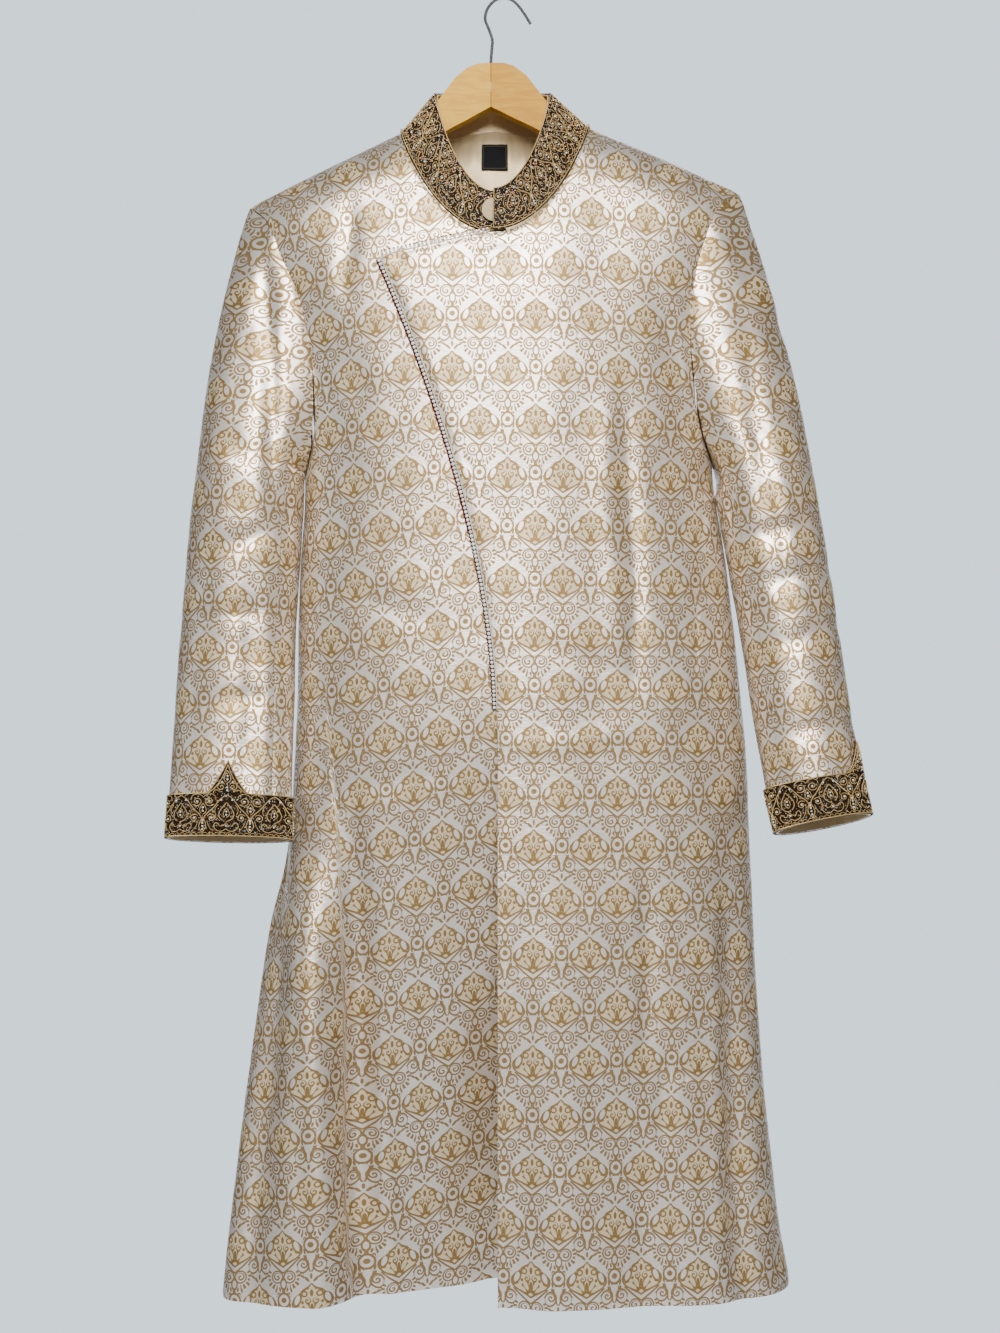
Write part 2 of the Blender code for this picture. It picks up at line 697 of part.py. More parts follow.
def build_cuffs():
    """The cuff bands, moved out of the sleeve's own points."""
    for name in ("left", "right"):
        bottom_z = SLEEVES[name][-1].z
        outer, inner = [], []
        for height in CUFF_ROWS:
            line_out, line_in = [], []
            for k in range(16):
                quarter = k / 4
                rise = CUFF_HEIGHT * height
                if height == 1.0 and quarter == FINIAL_AT[name]:
                    rise += FINIAL_HEIGHT
                z = bottom_z + rise * CUFF_SLANT
                normal = sleeve_normal(name, quarter, z)
                point = sleeve_tube_point(name, quarter, z)
                line_in.append(point + normal * 2 * SEAM_GAP)
                line_out.append(point + normal * (2 * SEAM_GAP + CUFF_WALL))
            outer.append(line_out)
            inner.append(line_in)
        cloth_piece("cuff_" + name, "embroidery", outer, inner, closed=True)


# Collar ---------------------------------------------------------------------------------

def collar_lift(angle):
    """How far the collar's left end stands out over its right end and the button."""
    return COLLAR_LIFT * (1 - ramp(angle, radians(COLLAR_LIFT_FROM), radians(COLLAR_LIFT_TO)))


def neckline_normal(angle):
    """The body's normal at the neckline's nearest step."""
    step = round(angle / (pi / 2 / NECK_STEPS)) % (4 * NECK_STEPS)
    side = 1 if step < 2 * NECK_STEPS else -1
    from_front = step if side > 0 else 4 * NECK_STEPS - step
    normal = Vector()
    if from_front >= NECK_STEPS:
        across = (2 * NECK_STEPS - from_front) / (NECK_STEPS + SHOULDER_STEPS)
        normal += slope_normal(back_patch(side), 1 - across if side > 0 else across, 0.0)
    if from_front <= NECK_STEPS and side > 0:
        across = (FLAP_STEPS + from_front) / (FLAP_STEPS + NECK_STEPS + SHOULDER_STEPS)
        normal += slope_normal(front_left_patch(), across, 0.0)
    elif from_front <= NECK_STEPS:
        across = (SHOULDER_STEPS + NECK_STEPS - from_front) / (SHOULDER_STEPS + NECK_STEPS + 1)
        normal += slope_normal(front_right_patch(), across, 0.0)
    return normal.normalized()


def collar_point(angle, height):
    """The stand collar's outer surface; angle goes from the centre front by the left side."""
    back = cos(angle) < 0
    side = 1 if sin(angle) >= 0 else -1
    from_centre = asin(min(abs(sin(angle)), 1.0)) * side
    x, z = neck_point(from_centre, back)
    turn = turn_at(x, z, back)
    lift = flap_lift(x) if angle < pi / 2 else 0.0
    base = body_point(turn, z, outward=lift)
    half = COLLAR_TOP_LEFT if side > 0 else COLLAR_TOP_RIGHT
    level = cos(angle)
    depth = COLLAR_TOP_BACK_DEPTH if back else COLLAR_TOP_DEPTH
    side_y = BODY[0].left_y
    if back:
        z_top = mix(COLLAR_TOP_SIDE_Z, COLLAR_TOP_BACK_Z, -level)
    else:
        z_top = mix(COLLAR_TOP_SIDE_Z, COLLAR_TOP_FRONT_Z, level**NECK_ROUND)
    top = Vector((COAT_X + half * sin(angle), side_y - depth * level, z_top))
    point = base.lerp(top, height)
    if angle < pi / 2:
        point += neckline_normal(angle) * collar_lift(angle) * mix(COLLAR_LIFT_AT_BASE, 1.0, height)
    return point


def collar_normal(angle, height):
    low, high = max(height - 0.01, 0.0), height + 0.01
    around = collar_point(angle + NUDGE, height) - collar_point(angle - NUDGE, height)
    up = collar_point(angle, high) - collar_point(angle, low)
    return around.cross(up).normalized()


def collar_angles():
    """The neckline's own steps, and a short lap past the centre front at the right end."""
    quarter = pi / 2 / NECK_STEPS
    angles = [k * quarter for k in range(4 * NECK_STEPS + 1)]
    angles[0] = radians(COLLAR_START)
    return angles + [2 * pi + radians(COLLAR_LAP)]


def collar_place(angle, height, depth):
    """A place a given depth inside the collar's outer surface."""
    if height < COLLAR_FIRST_ROW:
        low = collar_point(angle, COLLAR_BASE_ROW) - neckline_normal(angle) * depth
        high = collar_place(angle, COLLAR_FIRST_ROW, depth)
        return low.lerp(high, (height - COLLAR_BASE_ROW) / (COLLAR_FIRST_ROW - COLLAR_BASE_ROW))
    return collar_point(angle, height) - collar_normal(angle, height) * depth


def collar_layer(name, finish, heights, depth, wall, angles):
    """A band of the collar: depth is how far inside the outer surface it starts."""
    outer = [[collar_place(a, h, depth) for a in angles] for h in heights]
    inner = [[collar_place(a, h, depth + wall) for a in angles] for h in heights]
    return cloth_piece(name, finish, outer, inner)


def build_collar():
    angles = collar_angles()
    heights = (1.0, 0.75, 0.5, COLLAR_FIRST_ROW, COLLAR_BASE_ROW)
    collar_layer("collar_band", "embroidery", heights, 0.0, COLLAR_WALL, angles)
    lining_angles = angles[1:-2]
    heights = (COLLAR_LINING_TOP, 0.75, 0.5, COLLAR_FIRST_ROW, COLLAR_LINING_BASE)
    collar_layer("collar_lining", "lining", heights, COLLAR_WALL + LINING_GAP, LINING_WALL,
                 lining_angles)


def build_button():
    """A flat cloth-covered button on the collar's right end."""
    angle = 2 * pi + radians(BUTTON_AT)
    normal = collar_normal(angle, BUTTON_HEIGHT)
    seat = collar_point(angle, BUTTON_HEIGHT) + normal * (BUTTON_SEAT + BUTTON_THICKNESS / 2)
    mesh = bmesh.new()
    bmesh.ops.create_uvsphere(mesh, u_segments=20, v_segments=8, radius=1.0)
    turn = normal.to_track_quat("Z", "Y").to_matrix()
    for vert in mesh.verts:
        flat = Vector((vert.co.x * BUTTON_RADIUS, vert.co.y * BUTTON_RADIUS,
                       vert.co.z * BUTTON_THICKNESS / 2))
        vert.co = seat + turn @ flat
    data = bpy.data.meshes.new("collar_button")
    mesh.to_mesh(data)
    mesh.free()
    data.shade_smooth()
    item = bpy.data.objects.new("collar_button", data)
    PARTS.objects.link(item)
    give_material(item, "brocade")


# Lining, label and trim -----------------------------------------------------------------

def build_lining_and_label():
    """The lining behind the neck, on the backs' own points, and the label on the lining."""
    columns = stretches(NECK_STEPS, SHOULDER_STEPS)[:NECK_STEPS]
    levels = row_levels(1)[:5]
    levels[0] = levels[1] / 2
    skins = []
    for depth in (WALL + BACK_LINING_GAP, WALL + BACK_LINING_GAP + LINING_WALL):
        grid = []
        for r in levels:
            right, left = back_patch(-1), back_patch(1)
            line = [right(s, r) - slope_normal(right, s, r) * depth for s in reversed(columns)]
            line += [left(1 - s, r) - slope_normal(left, 1 - s, r) * depth for s in columns[1:]]
            grid.append(line)
        skins.append(grid)
    cloth_piece("back_neck_lining", "lining", *skins)

    def on_lining(x, z):
        """A place on the lining's inner skin, between its two rows and columns nearest."""
        middle = len(columns) - 1
        for upper, lower in zip(skins[1], skins[1][1:]):
            side = 1 if x >= 0 else -1
            reach = abs(x) / abs(upper[middle + side].x - upper[middle].x)
            above = upper[middle].lerp(upper[middle + side], reach)
            below = lower[middle].lerp(lower[middle + side], reach)
            if below.z <= z:
                return above.lerp(below, (z - above.z) / (below.z - above.z))
        return None

    label = []
    for lift in (LINING_GAP + LINING_WALL, LINING_GAP):
        label.append([[on_lining(x, LABEL_TOP_Z - k * LABEL_SIZE / 3) - Vector((0.0, lift, 0.0))
                       for x in (-LABEL_SIZE / 2, 0.0, LABEL_SIZE / 2)] for k in range(4)])
    cloth_piece("neck_label", "label", *label)


def trim_cord(name, places):
    """A plain round cord over a row of (x, z) places on the right front."""
    curve = bpy.data.curves.new(name, "CURVE")
    curve.dimensions = "3D"
    curve.bevel_depth = TRIM_RADIUS
    curve.bevel_resolution = 1
    curve.use_fill_caps = True
    spline = curve.splines.new("POLY")
    spline.points.add(len(places) - 1)
    for target, (x, z) in zip(spline.points, places):
        surface = body_point(turn_at(x, z), z, tucked=True)
        centre = surface + Vector((0.0, -(TRIM_RADIUS + TRIM_STAND), 0.0))
        target.co = (*centre, 1.0)
    item = bpy.data.objects.new(name, curve)
    PARTS.objects.link(item)
    give_material(item, "beads")


def build_trims():
    top_steps, edge_steps = 10, 26
    rise = NECK_FRONT_Z - FLAP_CORNER_Z
    length = sqrt(FLAP_CORNER_X**2 + rise**2)
    up = (rise / length * TRIM_OFFSET, -FLAP_CORNER_X / length * TRIM_OFFSET)
    places = []
    for k in range(top_steps + 1):
        t = k / top_steps
        x = mix(FLAP_CORNER_X, TRIM_NECK_END_X, t)
        z = mix(FLAP_CORNER_Z, NECK_FRONT_Z, (x - FLAP_CORNER_X) / -FLAP_CORNER_X)
        places.append((x - up[0], z + up[1]))
    trim_cord("trim_neck", places)
    places = []
    for k in range(edge_steps + 1):
        z = mix(FLAP_CORNER_Z - 0.001, SLIT_TOP_Z, k / edge_steps)
        slope = (flap_edge_x(z - NUDGE) - flap_edge_x(z)) / NUDGE
        out = TRIM_OFFSET / sqrt(1 + slope**2)
        places.append((flap_edge_x(z) - out, z - out * slope))
    trim_cord("trim_front", places)


# Hanger ---------------------------------------------------------------------------------

def curve_to_mesh(item, name):
    """Turn a curve object into a mesh object with its caps welded on."""
    evaluated = item.evaluated_get(bpy.context.evaluated_depsgraph_get())
    data = bpy.data.meshes.new_from_object(evaluated)
    mesh = bmesh.new()
    mesh.from_mesh(data)
    bmesh.ops.remove_doubles(mesh, verts=mesh.verts, dist=1e-5)
    bmesh.ops.recalc_face_normals(mesh, faces=mesh.faces)
    mesh.to_mesh(data)
    mesh.free()
    result = bpy.data.objects.new(name, data)
    result.matrix_world = item.matrix_world.copy()
    bpy.data.objects.remove(item, do_unlink=True)
    return result


def build_hanger_arm(name, side, bore):
    """One arm, sawn from a board to its outline and swept a little forward."""
    curve = bpy.data.curves.new(name + "_outline", "CURVE")
    curve.dimensions = "2D"
    curve.fill_mode = "BOTH"
    curve.extrude = HANGER_THICKNESS / 2
    spline = curve.splines.new("POLY")
    outline = [(row.out, row.top) for row in ARM] + [(row.out, row.bottom) for row in reversed(ARM)]
    outline = [(max(out, SEAM_GAP / 2), z) for out, z in outline]
    spline.points.add(len(outline) - 1)
    for target, (out, z) in zip(spline.points, outline):
        target.co = (side * out, z + SHOULDER_TILT * side * out, 0.0, 1.0)
    spline.use_cyclic_u = True
    flat = bpy.data.objects.new(name + "_outline", curve)
    PARTS.objects.link(flat)
    bpy.context.view_layer.update()
    arm = curve_to_mesh(flat, name)
    for vert in arm.data.vertices:
        across, height, thick = vert.co
        vert.co = (HANGER_X + across, thick - HANGER_SWEEP * abs(across), height)
    mesh = bmesh.new()
    mesh.from_mesh(arm.data)
    bmesh.ops.recalc_face_normals(mesh, faces=mesh.faces)
    mesh.to_mesh(arm.data)
    mesh.free()
    PARTS.objects.link(arm)
    cut = arm.modifiers.new("bore", "BOOLEAN")
    cut.operation = "DIFFERENCE"
    cut.object = bore
    edges = arm.modifiers.new("rounded_edges", "BEVEL")
    edges.width = HANGER_BEVEL
    edges.segments = 2
    edges.limit_method = "ANGLE"
    edges.angle_limit = radians(60)
    arm.data.shade_smooth()
    arm.data.set_sharp_from_angle(angle=radians(35))
    give_material(arm, "wood")


def build_hook():
    """The wire hook, on a smooth curve through its points."""
    curve = bpy.data.curves.new("hanger_hook", "CURVE")
    curve.dimensions = "3D"
    curve.bevel_depth = WIRE_RADIUS
    curve.bevel_resolution = 2
    curve.use_fill_caps = True
    Step = namedtuple("Step", "at x z")
    rows = [Step(k, point.x, point.z) for k, point in enumerate(HOOK)]
    per_stretch = 3
    count = (len(HOOK) - 1) * per_stretch + 1
    spline = curve.splines.new("POLY")
    spline.points.add(count - 1)
    for k, target in enumerate(spline.points):
        row = smooth_row(rows, "at", k / per_stretch)
        target.co = (row.x, 0.0, row.z, 1.0)
    item = bpy.data.objects.new("hanger_hook", curve)
    PARTS.objects.link(item)
    give_material(item, "wire")


def build_hanger():
    mesh = bmesh.new()
    bore_radius = WIRE_RADIUS + SEAM_GAP
    bottom = HOOK[0].z - SEAM_GAP
    bmesh.ops.create_cone(mesh, cap_ends=True, segments=16, radius1=bore_radius,
                          radius2=bore_radius, depth=BORE_TOP_Z - bottom)
    data = bpy.data.meshes.new("hook_bore")
    mesh.to_mesh(data)
    mesh.free()
    bore = bpy.data.objects.new("hook_bore", data)
    bore.location = (HANGER_X, 0.0, (BORE_TOP_Z + bottom) / 2)
    bore.hide_render = True
    bore.display_type = "WIRE"
    CUTTERS.objects.link(bore)
    build_hanger_arm("hanger_arm_left", 1, bore)
    build_hanger_arm("hanger_arm_right", -1, bore)
    build_hook()


clear_scene()
PARTS = collection_named("sherwani_coat_on_a_hanger")
CUTTERS = collection_named("cutters")
build_fronts_and_backs()
build_sleeves()
build_cuffs()
build_collar()
build_button()
build_lining_and_label()
build_trims()
build_hanger()
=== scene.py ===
"""A brocade sherwani coat on a wooden hanger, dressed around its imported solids.

The same axes as the solids: +X to the wearer's left, -Y out of the coat's front, +Z up, in metres,
from the inside top of the hanger's hook. Round the body a place is a turn: 0 at the centre front,
+1 or -1 at the left or right side seam, 2 at the centre back.
"""
from math import pi, radians, sqrt

import bpy
import numpy as np
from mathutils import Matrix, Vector


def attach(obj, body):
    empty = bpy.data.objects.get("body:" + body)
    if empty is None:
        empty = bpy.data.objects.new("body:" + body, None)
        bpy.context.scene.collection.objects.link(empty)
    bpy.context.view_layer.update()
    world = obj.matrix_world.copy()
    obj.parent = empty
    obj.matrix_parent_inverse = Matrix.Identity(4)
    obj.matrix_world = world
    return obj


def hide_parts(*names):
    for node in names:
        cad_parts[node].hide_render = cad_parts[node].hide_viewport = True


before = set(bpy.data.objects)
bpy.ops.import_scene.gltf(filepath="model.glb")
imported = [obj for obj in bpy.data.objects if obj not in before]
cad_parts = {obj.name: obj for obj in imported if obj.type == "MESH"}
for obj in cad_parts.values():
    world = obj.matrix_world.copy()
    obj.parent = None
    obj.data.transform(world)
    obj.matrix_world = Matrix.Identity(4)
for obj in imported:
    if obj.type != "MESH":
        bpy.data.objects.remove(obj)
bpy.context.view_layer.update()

bl_info = {
    "name": "Brocade Sherwani on a Hanger",
    "version": (1, 0, 0),
    "blender": (4, 5, 0),
    "location": "View3D > Sidebar > Sherwani",
    "description": "Dresses a long brocade coat with its embroidery, beads, lining and hanger",
    "category": "Object",
}

# Driving dimensions, the same as the solids'
COAT_X = -0.010
HEM_Z = -1.222
WALL = 0.002
SEAM_GAP = 0.0003
RIDGE_TOP_Z = -0.0875
SHOULDER_SLOPE = 0.45
RIDGE_ROUND = 0.020
SHOULDER_TILT = 0.028
SHOULDER_ROUND = 0.050
SHOULDER_HALF = 0.2345
ARMHOLE_DEPTH = 0.262
SLIT_TOP_Z = -0.679
SLIT_X = 0.003
FLAP_CORNER_X = -0.105
FLAP_CORNER_Z = -0.2607
FLAP_CURVE = 1.7
FLAP_LIFT = 0.0045
UNDERLAP = 0.030
NECK_HALF = 0.090
NECK_FRONT_Z = -0.238
NECK_BACK_Z = -0.122
NECK_BACK_DIP = 0.008
NECK_ROUND = 1.6
COLLAR_TOP_LEFT = 0.053
COLLAR_TOP_RIGHT = 0.057
COLLAR_TOP_FRONT_Z = -0.199
COLLAR_TOP_SIDE_Z = -0.091
COLLAR_TOP_BACK_Z = -0.080
COLLAR_TOP_DEPTH = 0.060
COLLAR_TOP_BACK_DEPTH = 0.038
COLLAR_WALL = 0.0022
COLLAR_LIFT = 0.0070
COLLAR_BASE_ROW = 0.016
COLLAR_FIRST_ROW = 0.25
LINING_WALL = 0.001
LINING_GAP = 0.0008
BACK_LINING_GAP = 0.0022
CUFF_WALL = 0.0016
CUFF_HEIGHT = 0.041
FINIAL_HEIGHT = 0.032
FINIAL_HALF = 0.019
TRIM_OFFSET = 0.0024
CREASE_EDGE = 0.014            # a panel's creases fade out over this much at its seams
BEAD_PITCH = 0.0038            # along the trims
MOTIF_PITCH = 40.0             # of the embroidered bands, in millimetres
SPOT_PITCH = 1.75              # of the small beads between the cords, in millimetres
SPOT_CLEARANCE = 1.15
CORD_SCALE = 0.00052           # a gold cord's radius in metres for each unit of its stated one
PEARL_RADIUS = 0.00095
LABEL_SIZE = 0.026
LABEL_TOP_Z = -0.128
BUTTON_RADIUS = 0.011
BUTTON_THICKNESS = 0.0026
BUTTON_SEAT = 0.0021

# The dart beside the right front's fold: its line, and how far the pattern moves across it
DART_Z = (0.578, 0.643, 0.780, 0.950, 1.222)
DART_X = (-0.173, -0.159, -0.146, -0.137, -0.129)
DART_SHIFT = 0.034

# How finely the cloth is laid out
FLAP_STEPS, NECK_STEPS, SHOULDER_STEPS = 5, 6, 7
FINE = 5                     # columns in each of a panel's steps along its top line
ARMHOLE_ROWS = 48
SIDE_ROWS = 112
CAP_ROWS = 22
TUBE_ROWS = 92
NUDGE = 0.002
EASED_OVER = 0.10             # a panel edge's wander is evened out over this much each way
FLOOR_Z = -2.0

# Level sections of the body: z, left, right, left_y, right_y, front_y, back_y, square
BODY = (
    (-0.080, 0.236, 0.236, -0.004, -0.004, -0.032, 0.037, 2.4),
    (-0.130, 0.239, 0.239, -0.004, -0.004, -0.044, 0.040, 2.4),
    (-0.190, 0.241, 0.241, -0.004, -0.004, -0.058, 0.043, 2.4),
    (-0.260, 0.226, 0.220, -0.004, -0.004, -0.070, 0.045, 2.4),
    (-0.340, 0.213, 0.193, -0.004, -0.004, -0.073, 0.047, 2.4),
    (-0.455, 0.208, 0.181, -0.004, -0.004, -0.075, 0.046, 2.4),
    (-0.550, 0.222, 0.185, -0.004, -0.004, -0.077, 0.043, 2.4),
    (-0.700, 0.238, 0.189, -0.004, -0.005, -0.082, 0.043, 2.5),
    (-0.815, 0.243, 0.198, -0.004, -0.011, -0.087, 0.046, 2.6),
    (-0.890, 0.247, 0.214, -0.004, -0.020, -0.091, 0.048, 2.6),
    (-1.035, 0.256, 0.233, -0.004, -0.036, -0.097, 0.051, 2.7),
    (-1.160, 0.270, 0.246, -0.004, -0.052, -0.102, 0.055, 2.8),
    (-1.222, 0.281, 0.252, -0.004, -0.058, -0.104, 0.056, 2.8),
)
# The armholes, from the shoulder's tip down: below, left, right, back_out
ARMHOLE = (
    (0.000, 0.2345, 0.2345, 0.000),
    (0.020, 0.2115, 0.2145, 0.005),
    (0.050, 0.1985, 0.2030, 0.008),
    (0.085, 0.1885, 0.1870, 0.010),
    (0.130, 0.1840, 0.1755, 0.010),
    (0.180, 0.1865, 0.1700, 0.008),
    (0.230, 0.1945, 0.1720, 0.003),
    (0.262, 0.2080, 0.1810, 0.000),
)
# Down each sleeve: z, its axis out and forward, its half width and half depth
SLEEVES = {
    "left": (
        (-0.470, 0.2550, 0.016, 0.0490, 0.046),
        (-0.546, 0.2690, 0.020, 0.0475, 0.044),
        (-0.613, 0.2792, 0.026, 0.0465, 0.041),
        (-0.699, 0.2909, 0.038, 0.0455, 0.036),
        (-0.750, 0.2985, 0.048, 0.0450, 0.031),
        (-0.786, 0.3053, 0.058, 0.0445, 0.026),
    ),
    "right": (
        (-0.452, 0.2300, 0.016, 0.0520, 0.045),
        (-0.521, 0.2365, 0.019, 0.0535, 0.042),
        (-0.611, 0.2425, 0.024, 0.0545, 0.037),
        (-0.671, 0.2440, 0.033, 0.0560, 0.032),
        (-0.746, 0.2455, 0.047, 0.0567, 0.025),
        (-0.800, 0.2465, 0.060, 0.0570, 0.019),
    ),
}
CAP_BULGE = 0.007
UNDER_BULGE = 0.005
BODY_CLEARANCE = 0.0008
UPPER_FROM, UPPER_TO, UNDER_TO = -0.75, 1.5, 3.25
FINIAL_AT = {"left": 0.25, "right": 1.0}

# The skirt's folds: face (front 1, back 0), x, half_width, depth, top_z
FOLDS = (
    (1, 0.142, 0.050, 0.006, -0.72),
    (1, 0.010, 0.045, 0.011, -0.90),
    (0, -0.150, 0.060, -0.010, -0.66),
    (0, -0.062, 0.045, 0.012, -0.60),
    (0, 0.074, 0.050, 0.014, -0.62),
    (0, 0.168, 0.055, -0.009, -0.70),
)
TUCK_TOP_Z = -0.62
TUCK_FOLD_FROM, TUCK_FOLD_TO, TUCK_FOLD_DEPTH = -0.168, -0.100, 0.042
TUCK_SLOPE_DEPTH = 0.042
TUCK_LEAN = 0.030

# Creases, given one by one. Each runs from one end to the other: x, z, x, z, then its half width
# and how far it sinks in at its middle. A negative depth stands out.
CREASES = {
    "front_left": (
        (0.1235, -0.430, 0.1305, -0.632, 0.011, 0.0034),
        (0.103, -0.405, 0.110, -0.600, 0.015, -0.0020),
        (0.139, -0.830, 0.140, -1.010, 0.011, 0.0026),
        (0.152, -1.005, 0.157, -1.075, 0.009, 0.0022),
        (0.134, -1.120, 0.136, -1.215, 0.011, 0.0024),
        (0.163, -1.010, 0.214, -1.012, 0.006, 0.0022),
        (0.166, -1.000, 0.205, -1.001, 0.005, -0.0012),
        (0.050, -0.620, 0.150, -0.660, 0.012, 0.0012),
        (0.020, -0.715, 0.120, -0.700, 0.013, -0.0010),
        (0.150, -0.300, 0.185, -0.420, 0.014, 0.0022),
        (0.060, -0.165, 0.150, -0.185, 0.010, 0.0012),
        (0.204, -0.900, 0.208, -1.225, 0.013, -0.0030),
        (0.218, -0.860, 0.234, -1.225, 0.018, 0.0120),
        (-0.022, -0.2590, 0.026, -0.2570, 0.0075, 0.0019),
        (-0.096, -0.2640, -0.082, -0.2650, 0.0050, 0.0016),
        (-0.030, -0.448, -0.024, -0.456, 0.0050, 0.0016),
        (-0.012, -0.528, -0.007, -0.536, 0.0050, 0.0016),
        (0.1976, -0.485, 0.1900, -0.560, 0.0035, 0.0018),
        (0.1900, -0.560, 0.1856, -0.6556, 0.0035, 0.0018),
        (0.030, -0.330, 0.090, -0.420, 0.020, 0.0010),
        (0.060, -0.930, 0.075, -1.180, 0.022, -0.0018),
        (0.030, -0.800, 0.034, -1.225, 0.020, 0.0014),
    ),
    "front_right": (
        (-0.134, -0.215, -0.138, -0.290, 0.012, 0.0030),
        (-0.1728, -0.5779, -0.1587, -0.6426, 0.0035, 0.0018),
        (-0.1587, -0.6426, -0.1450, -0.780, 0.0035, 0.0012),
        (-0.130, -0.840, -0.118, -1.225, 0.0160, 0.0150),
        (-0.104, -0.930, -0.097, -1.225, 0.0090, -0.0020),
        (-0.166, -0.860, -0.160, -1.225, 0.0170, -0.0060),
        (-0.150, -0.340, -0.120, -0.400, 0.016, 0.0012),
        (-0.160, -0.430, -0.130, -0.470, 0.014, 0.0014),
        (-0.150, -0.760, -0.060, -0.735, 0.016, 0.0014),
        (-0.165, -0.560, -0.060, -0.600, 0.014, 0.0012),
        (-0.060, -0.760, -0.050, -0.930, 0.018, -0.0014),
        (-0.206, -0.830, -0.222, -1.225, 0.018, 0.0100),
        (-0.184, -0.900, -0.186, -1.225, 0.016, -0.0040),
    ),
    "back_left": (
        (0.050, -0.520, 0.140, -0.560, 0.015, 0.0022),
        (0.060, -0.590, 0.150, -0.575, 0.014, -0.0014),
        (0.080, -0.300, 0.165, -0.350, 0.018, 0.0026),
        (0.110, -0.760, 0.120, -1.225, 0.016, 0.0034),
        (0.030, -0.880, 0.034, -1.225, 0.014, 0.0028),
        (0.040, -0.170, 0.130, -0.195, 0.012, 0.0014),
    ),
    "back_right": (
        (-0.045, -0.540, -0.130, -0.570, 0.015, 0.0024),
        (-0.075, -0.290, -0.155, -0.345, 0.018, 0.0024),
        (-0.105, -0.740, -0.112, -1.225, 0.016, 0.0030),
        (-0.020, -0.900, -0.022, -1.225, 0.013, 0.0026),
        (-0.150, -0.480, -0.165, -0.640, 0.012, 0.0018),
        (-0.040, -0.165, -0.130, -0.190, 0.012, 0.0014),
    ),
    "sleeve_left": (
        (0.226, -0.222, 0.240, -0.240, 0.0070, 0.0026),
        (0.222, -0.244, 0.236, -0.262, 0.0080, 0.0022),
        (0.246, -0.262, 0.262, -0.300, 0.0090, -0.0022),
        (0.238, -0.330, 0.300, -0.300, 0.014, 0.0018),
        (0.225, -0.400, 0.265, -0.440, 0.012, 0.0022),
        (0.235, -0.520, 0.300, -0.500, 0.013, 0.0024),
        (0.250, -0.560, 0.315, -0.548, 0.012, 0.0020),
        (0.255, -0.620, 0.330, -0.600, 0.013, 0.0020),
        (0.270, -0.700, 0.340, -0.690, 0.013, 0.0018),
        (0.236, -0.330, 0.262, -0.560, 0.012, 0.0026),
    ),
    "sleeve_right": (
        (-0.222, -0.205, -0.205, -0.470, 0.0100, 0.0040),
        (-0.210, -0.238, -0.190, -0.250, 0.0070, 0.0026),
        (-0.255, -0.330, -0.205, -0.300, 0.014, 0.0020),
        (-0.262, -0.420, -0.215, -0.450, 0.014, 0.0022),
        (-0.275, -0.540, -0.210, -0.510, 0.013, 0.0024),
        (-0.285, -0.600, -0.215, -0.585, 0.012, 0.0020),
        (-0.290, -0.680, -0.215, -0.665, 0.013, 0.0022),
        (-0.250, -0.330, -0.262, -0.560, 0.014, -0.0018),
        (-0.225, -0.560, -0.228, -0.740, 0.012, 0.0026),
    ),
}


# Tables, surfaces and grids -------------------------------------------------------------------

def table_at(rows, at):
    """A table's columns after its first, at values of the first, on smooth curves."""
    rows = np.array(rows, float)
    at = np.asarray(at, float)
    keys, values = rows[:, 0], rows[:, 1:]
    if keys[0] > keys[-1]:
        keys, at = -keys, -at
    at = np.clip(at, keys[0], keys[-1])
    slopes = np.empty_like(values)
    slopes[1:-1] = (values[2:] - values[:-2]) / (keys[2:] - keys[:-2])[:, None]
    slopes[0] = (values[1] - values[0]) / (keys[1] - keys[0])
    slopes[-1] = (values[-1] - values[-2]) / (keys[-1] - keys[-2])
    low = np.clip(np.searchsorted(keys, at, side="right") - 1, 0, len(keys) - 2)
    span = (keys[low + 1] - keys[low])[..., None]
    t = (at - keys[low])[..., None] / span
    out = ((2 * t**3 - 3 * t**2 + 1) * values[low] + (t**3 - 2 * t**2 + t) * span * slopes[low]
           + (3 * t**2 - 2 * t**3) * values[low + 1] + (t**3 - t**2) * span * slopes[low + 1])
    return np.moveaxis(out, -1, 0)


def ramp(value, start, end):
    """0 before start, 1 after end and smooth between."""
    t = np.clip((value - start) / (end - start), 0.0, 1.0)
    return t * t * (3.0 - 2.0 * t)


def mix(a, b, t):
    return a + (b - a) * t


def unit(vectors):
    return vectors / np.maximum(np.linalg.norm(vectors, axis=-1, keepdims=True), 1e-12)


def xyz(x, y, z):
    return np.stack(np.broadcast_arrays(np.asarray(x, float), y, z), axis=-1)


def ridge_z(x):
    """The height of the shoulder line."""
    return RIDGE_TOP_Z - SHOULDER_SLOPE * np.sqrt(x**2 + RIDGE_ROUND**2) + SHOULDER_TILT * x


def tip_z(side):
    return float(ridge_z(SHOULDER_HALF * side))


def level(z, side):
    """A body section's half width and side seam's y on one side, front, back and squareness."""
    left, right, left_y, right_y, front_y, back_y, square = table_at(BODY, z)
    return np.where(side > 0, left, right), np.where(side > 0, left_y, right_y), \
        front_y, back_y, square


def turn_at(x, z, back=False):
    """The turn at which the body's surface stands at x on a level."""
    x, z = np.broadcast_arrays(np.asarray(x, float), np.asarray(z, float))
    side = np.where(x >= 0, 1.0, -1.0)
    half, _, _, _, square = level(z, side)
    reach = np.clip(np.abs(x) / half, 0.0, 1.0)
    turn = np.arcsin(reach ** (square / 2)) / (pi / 2)
    return side * np.where(back, 2.0 - turn, turn)


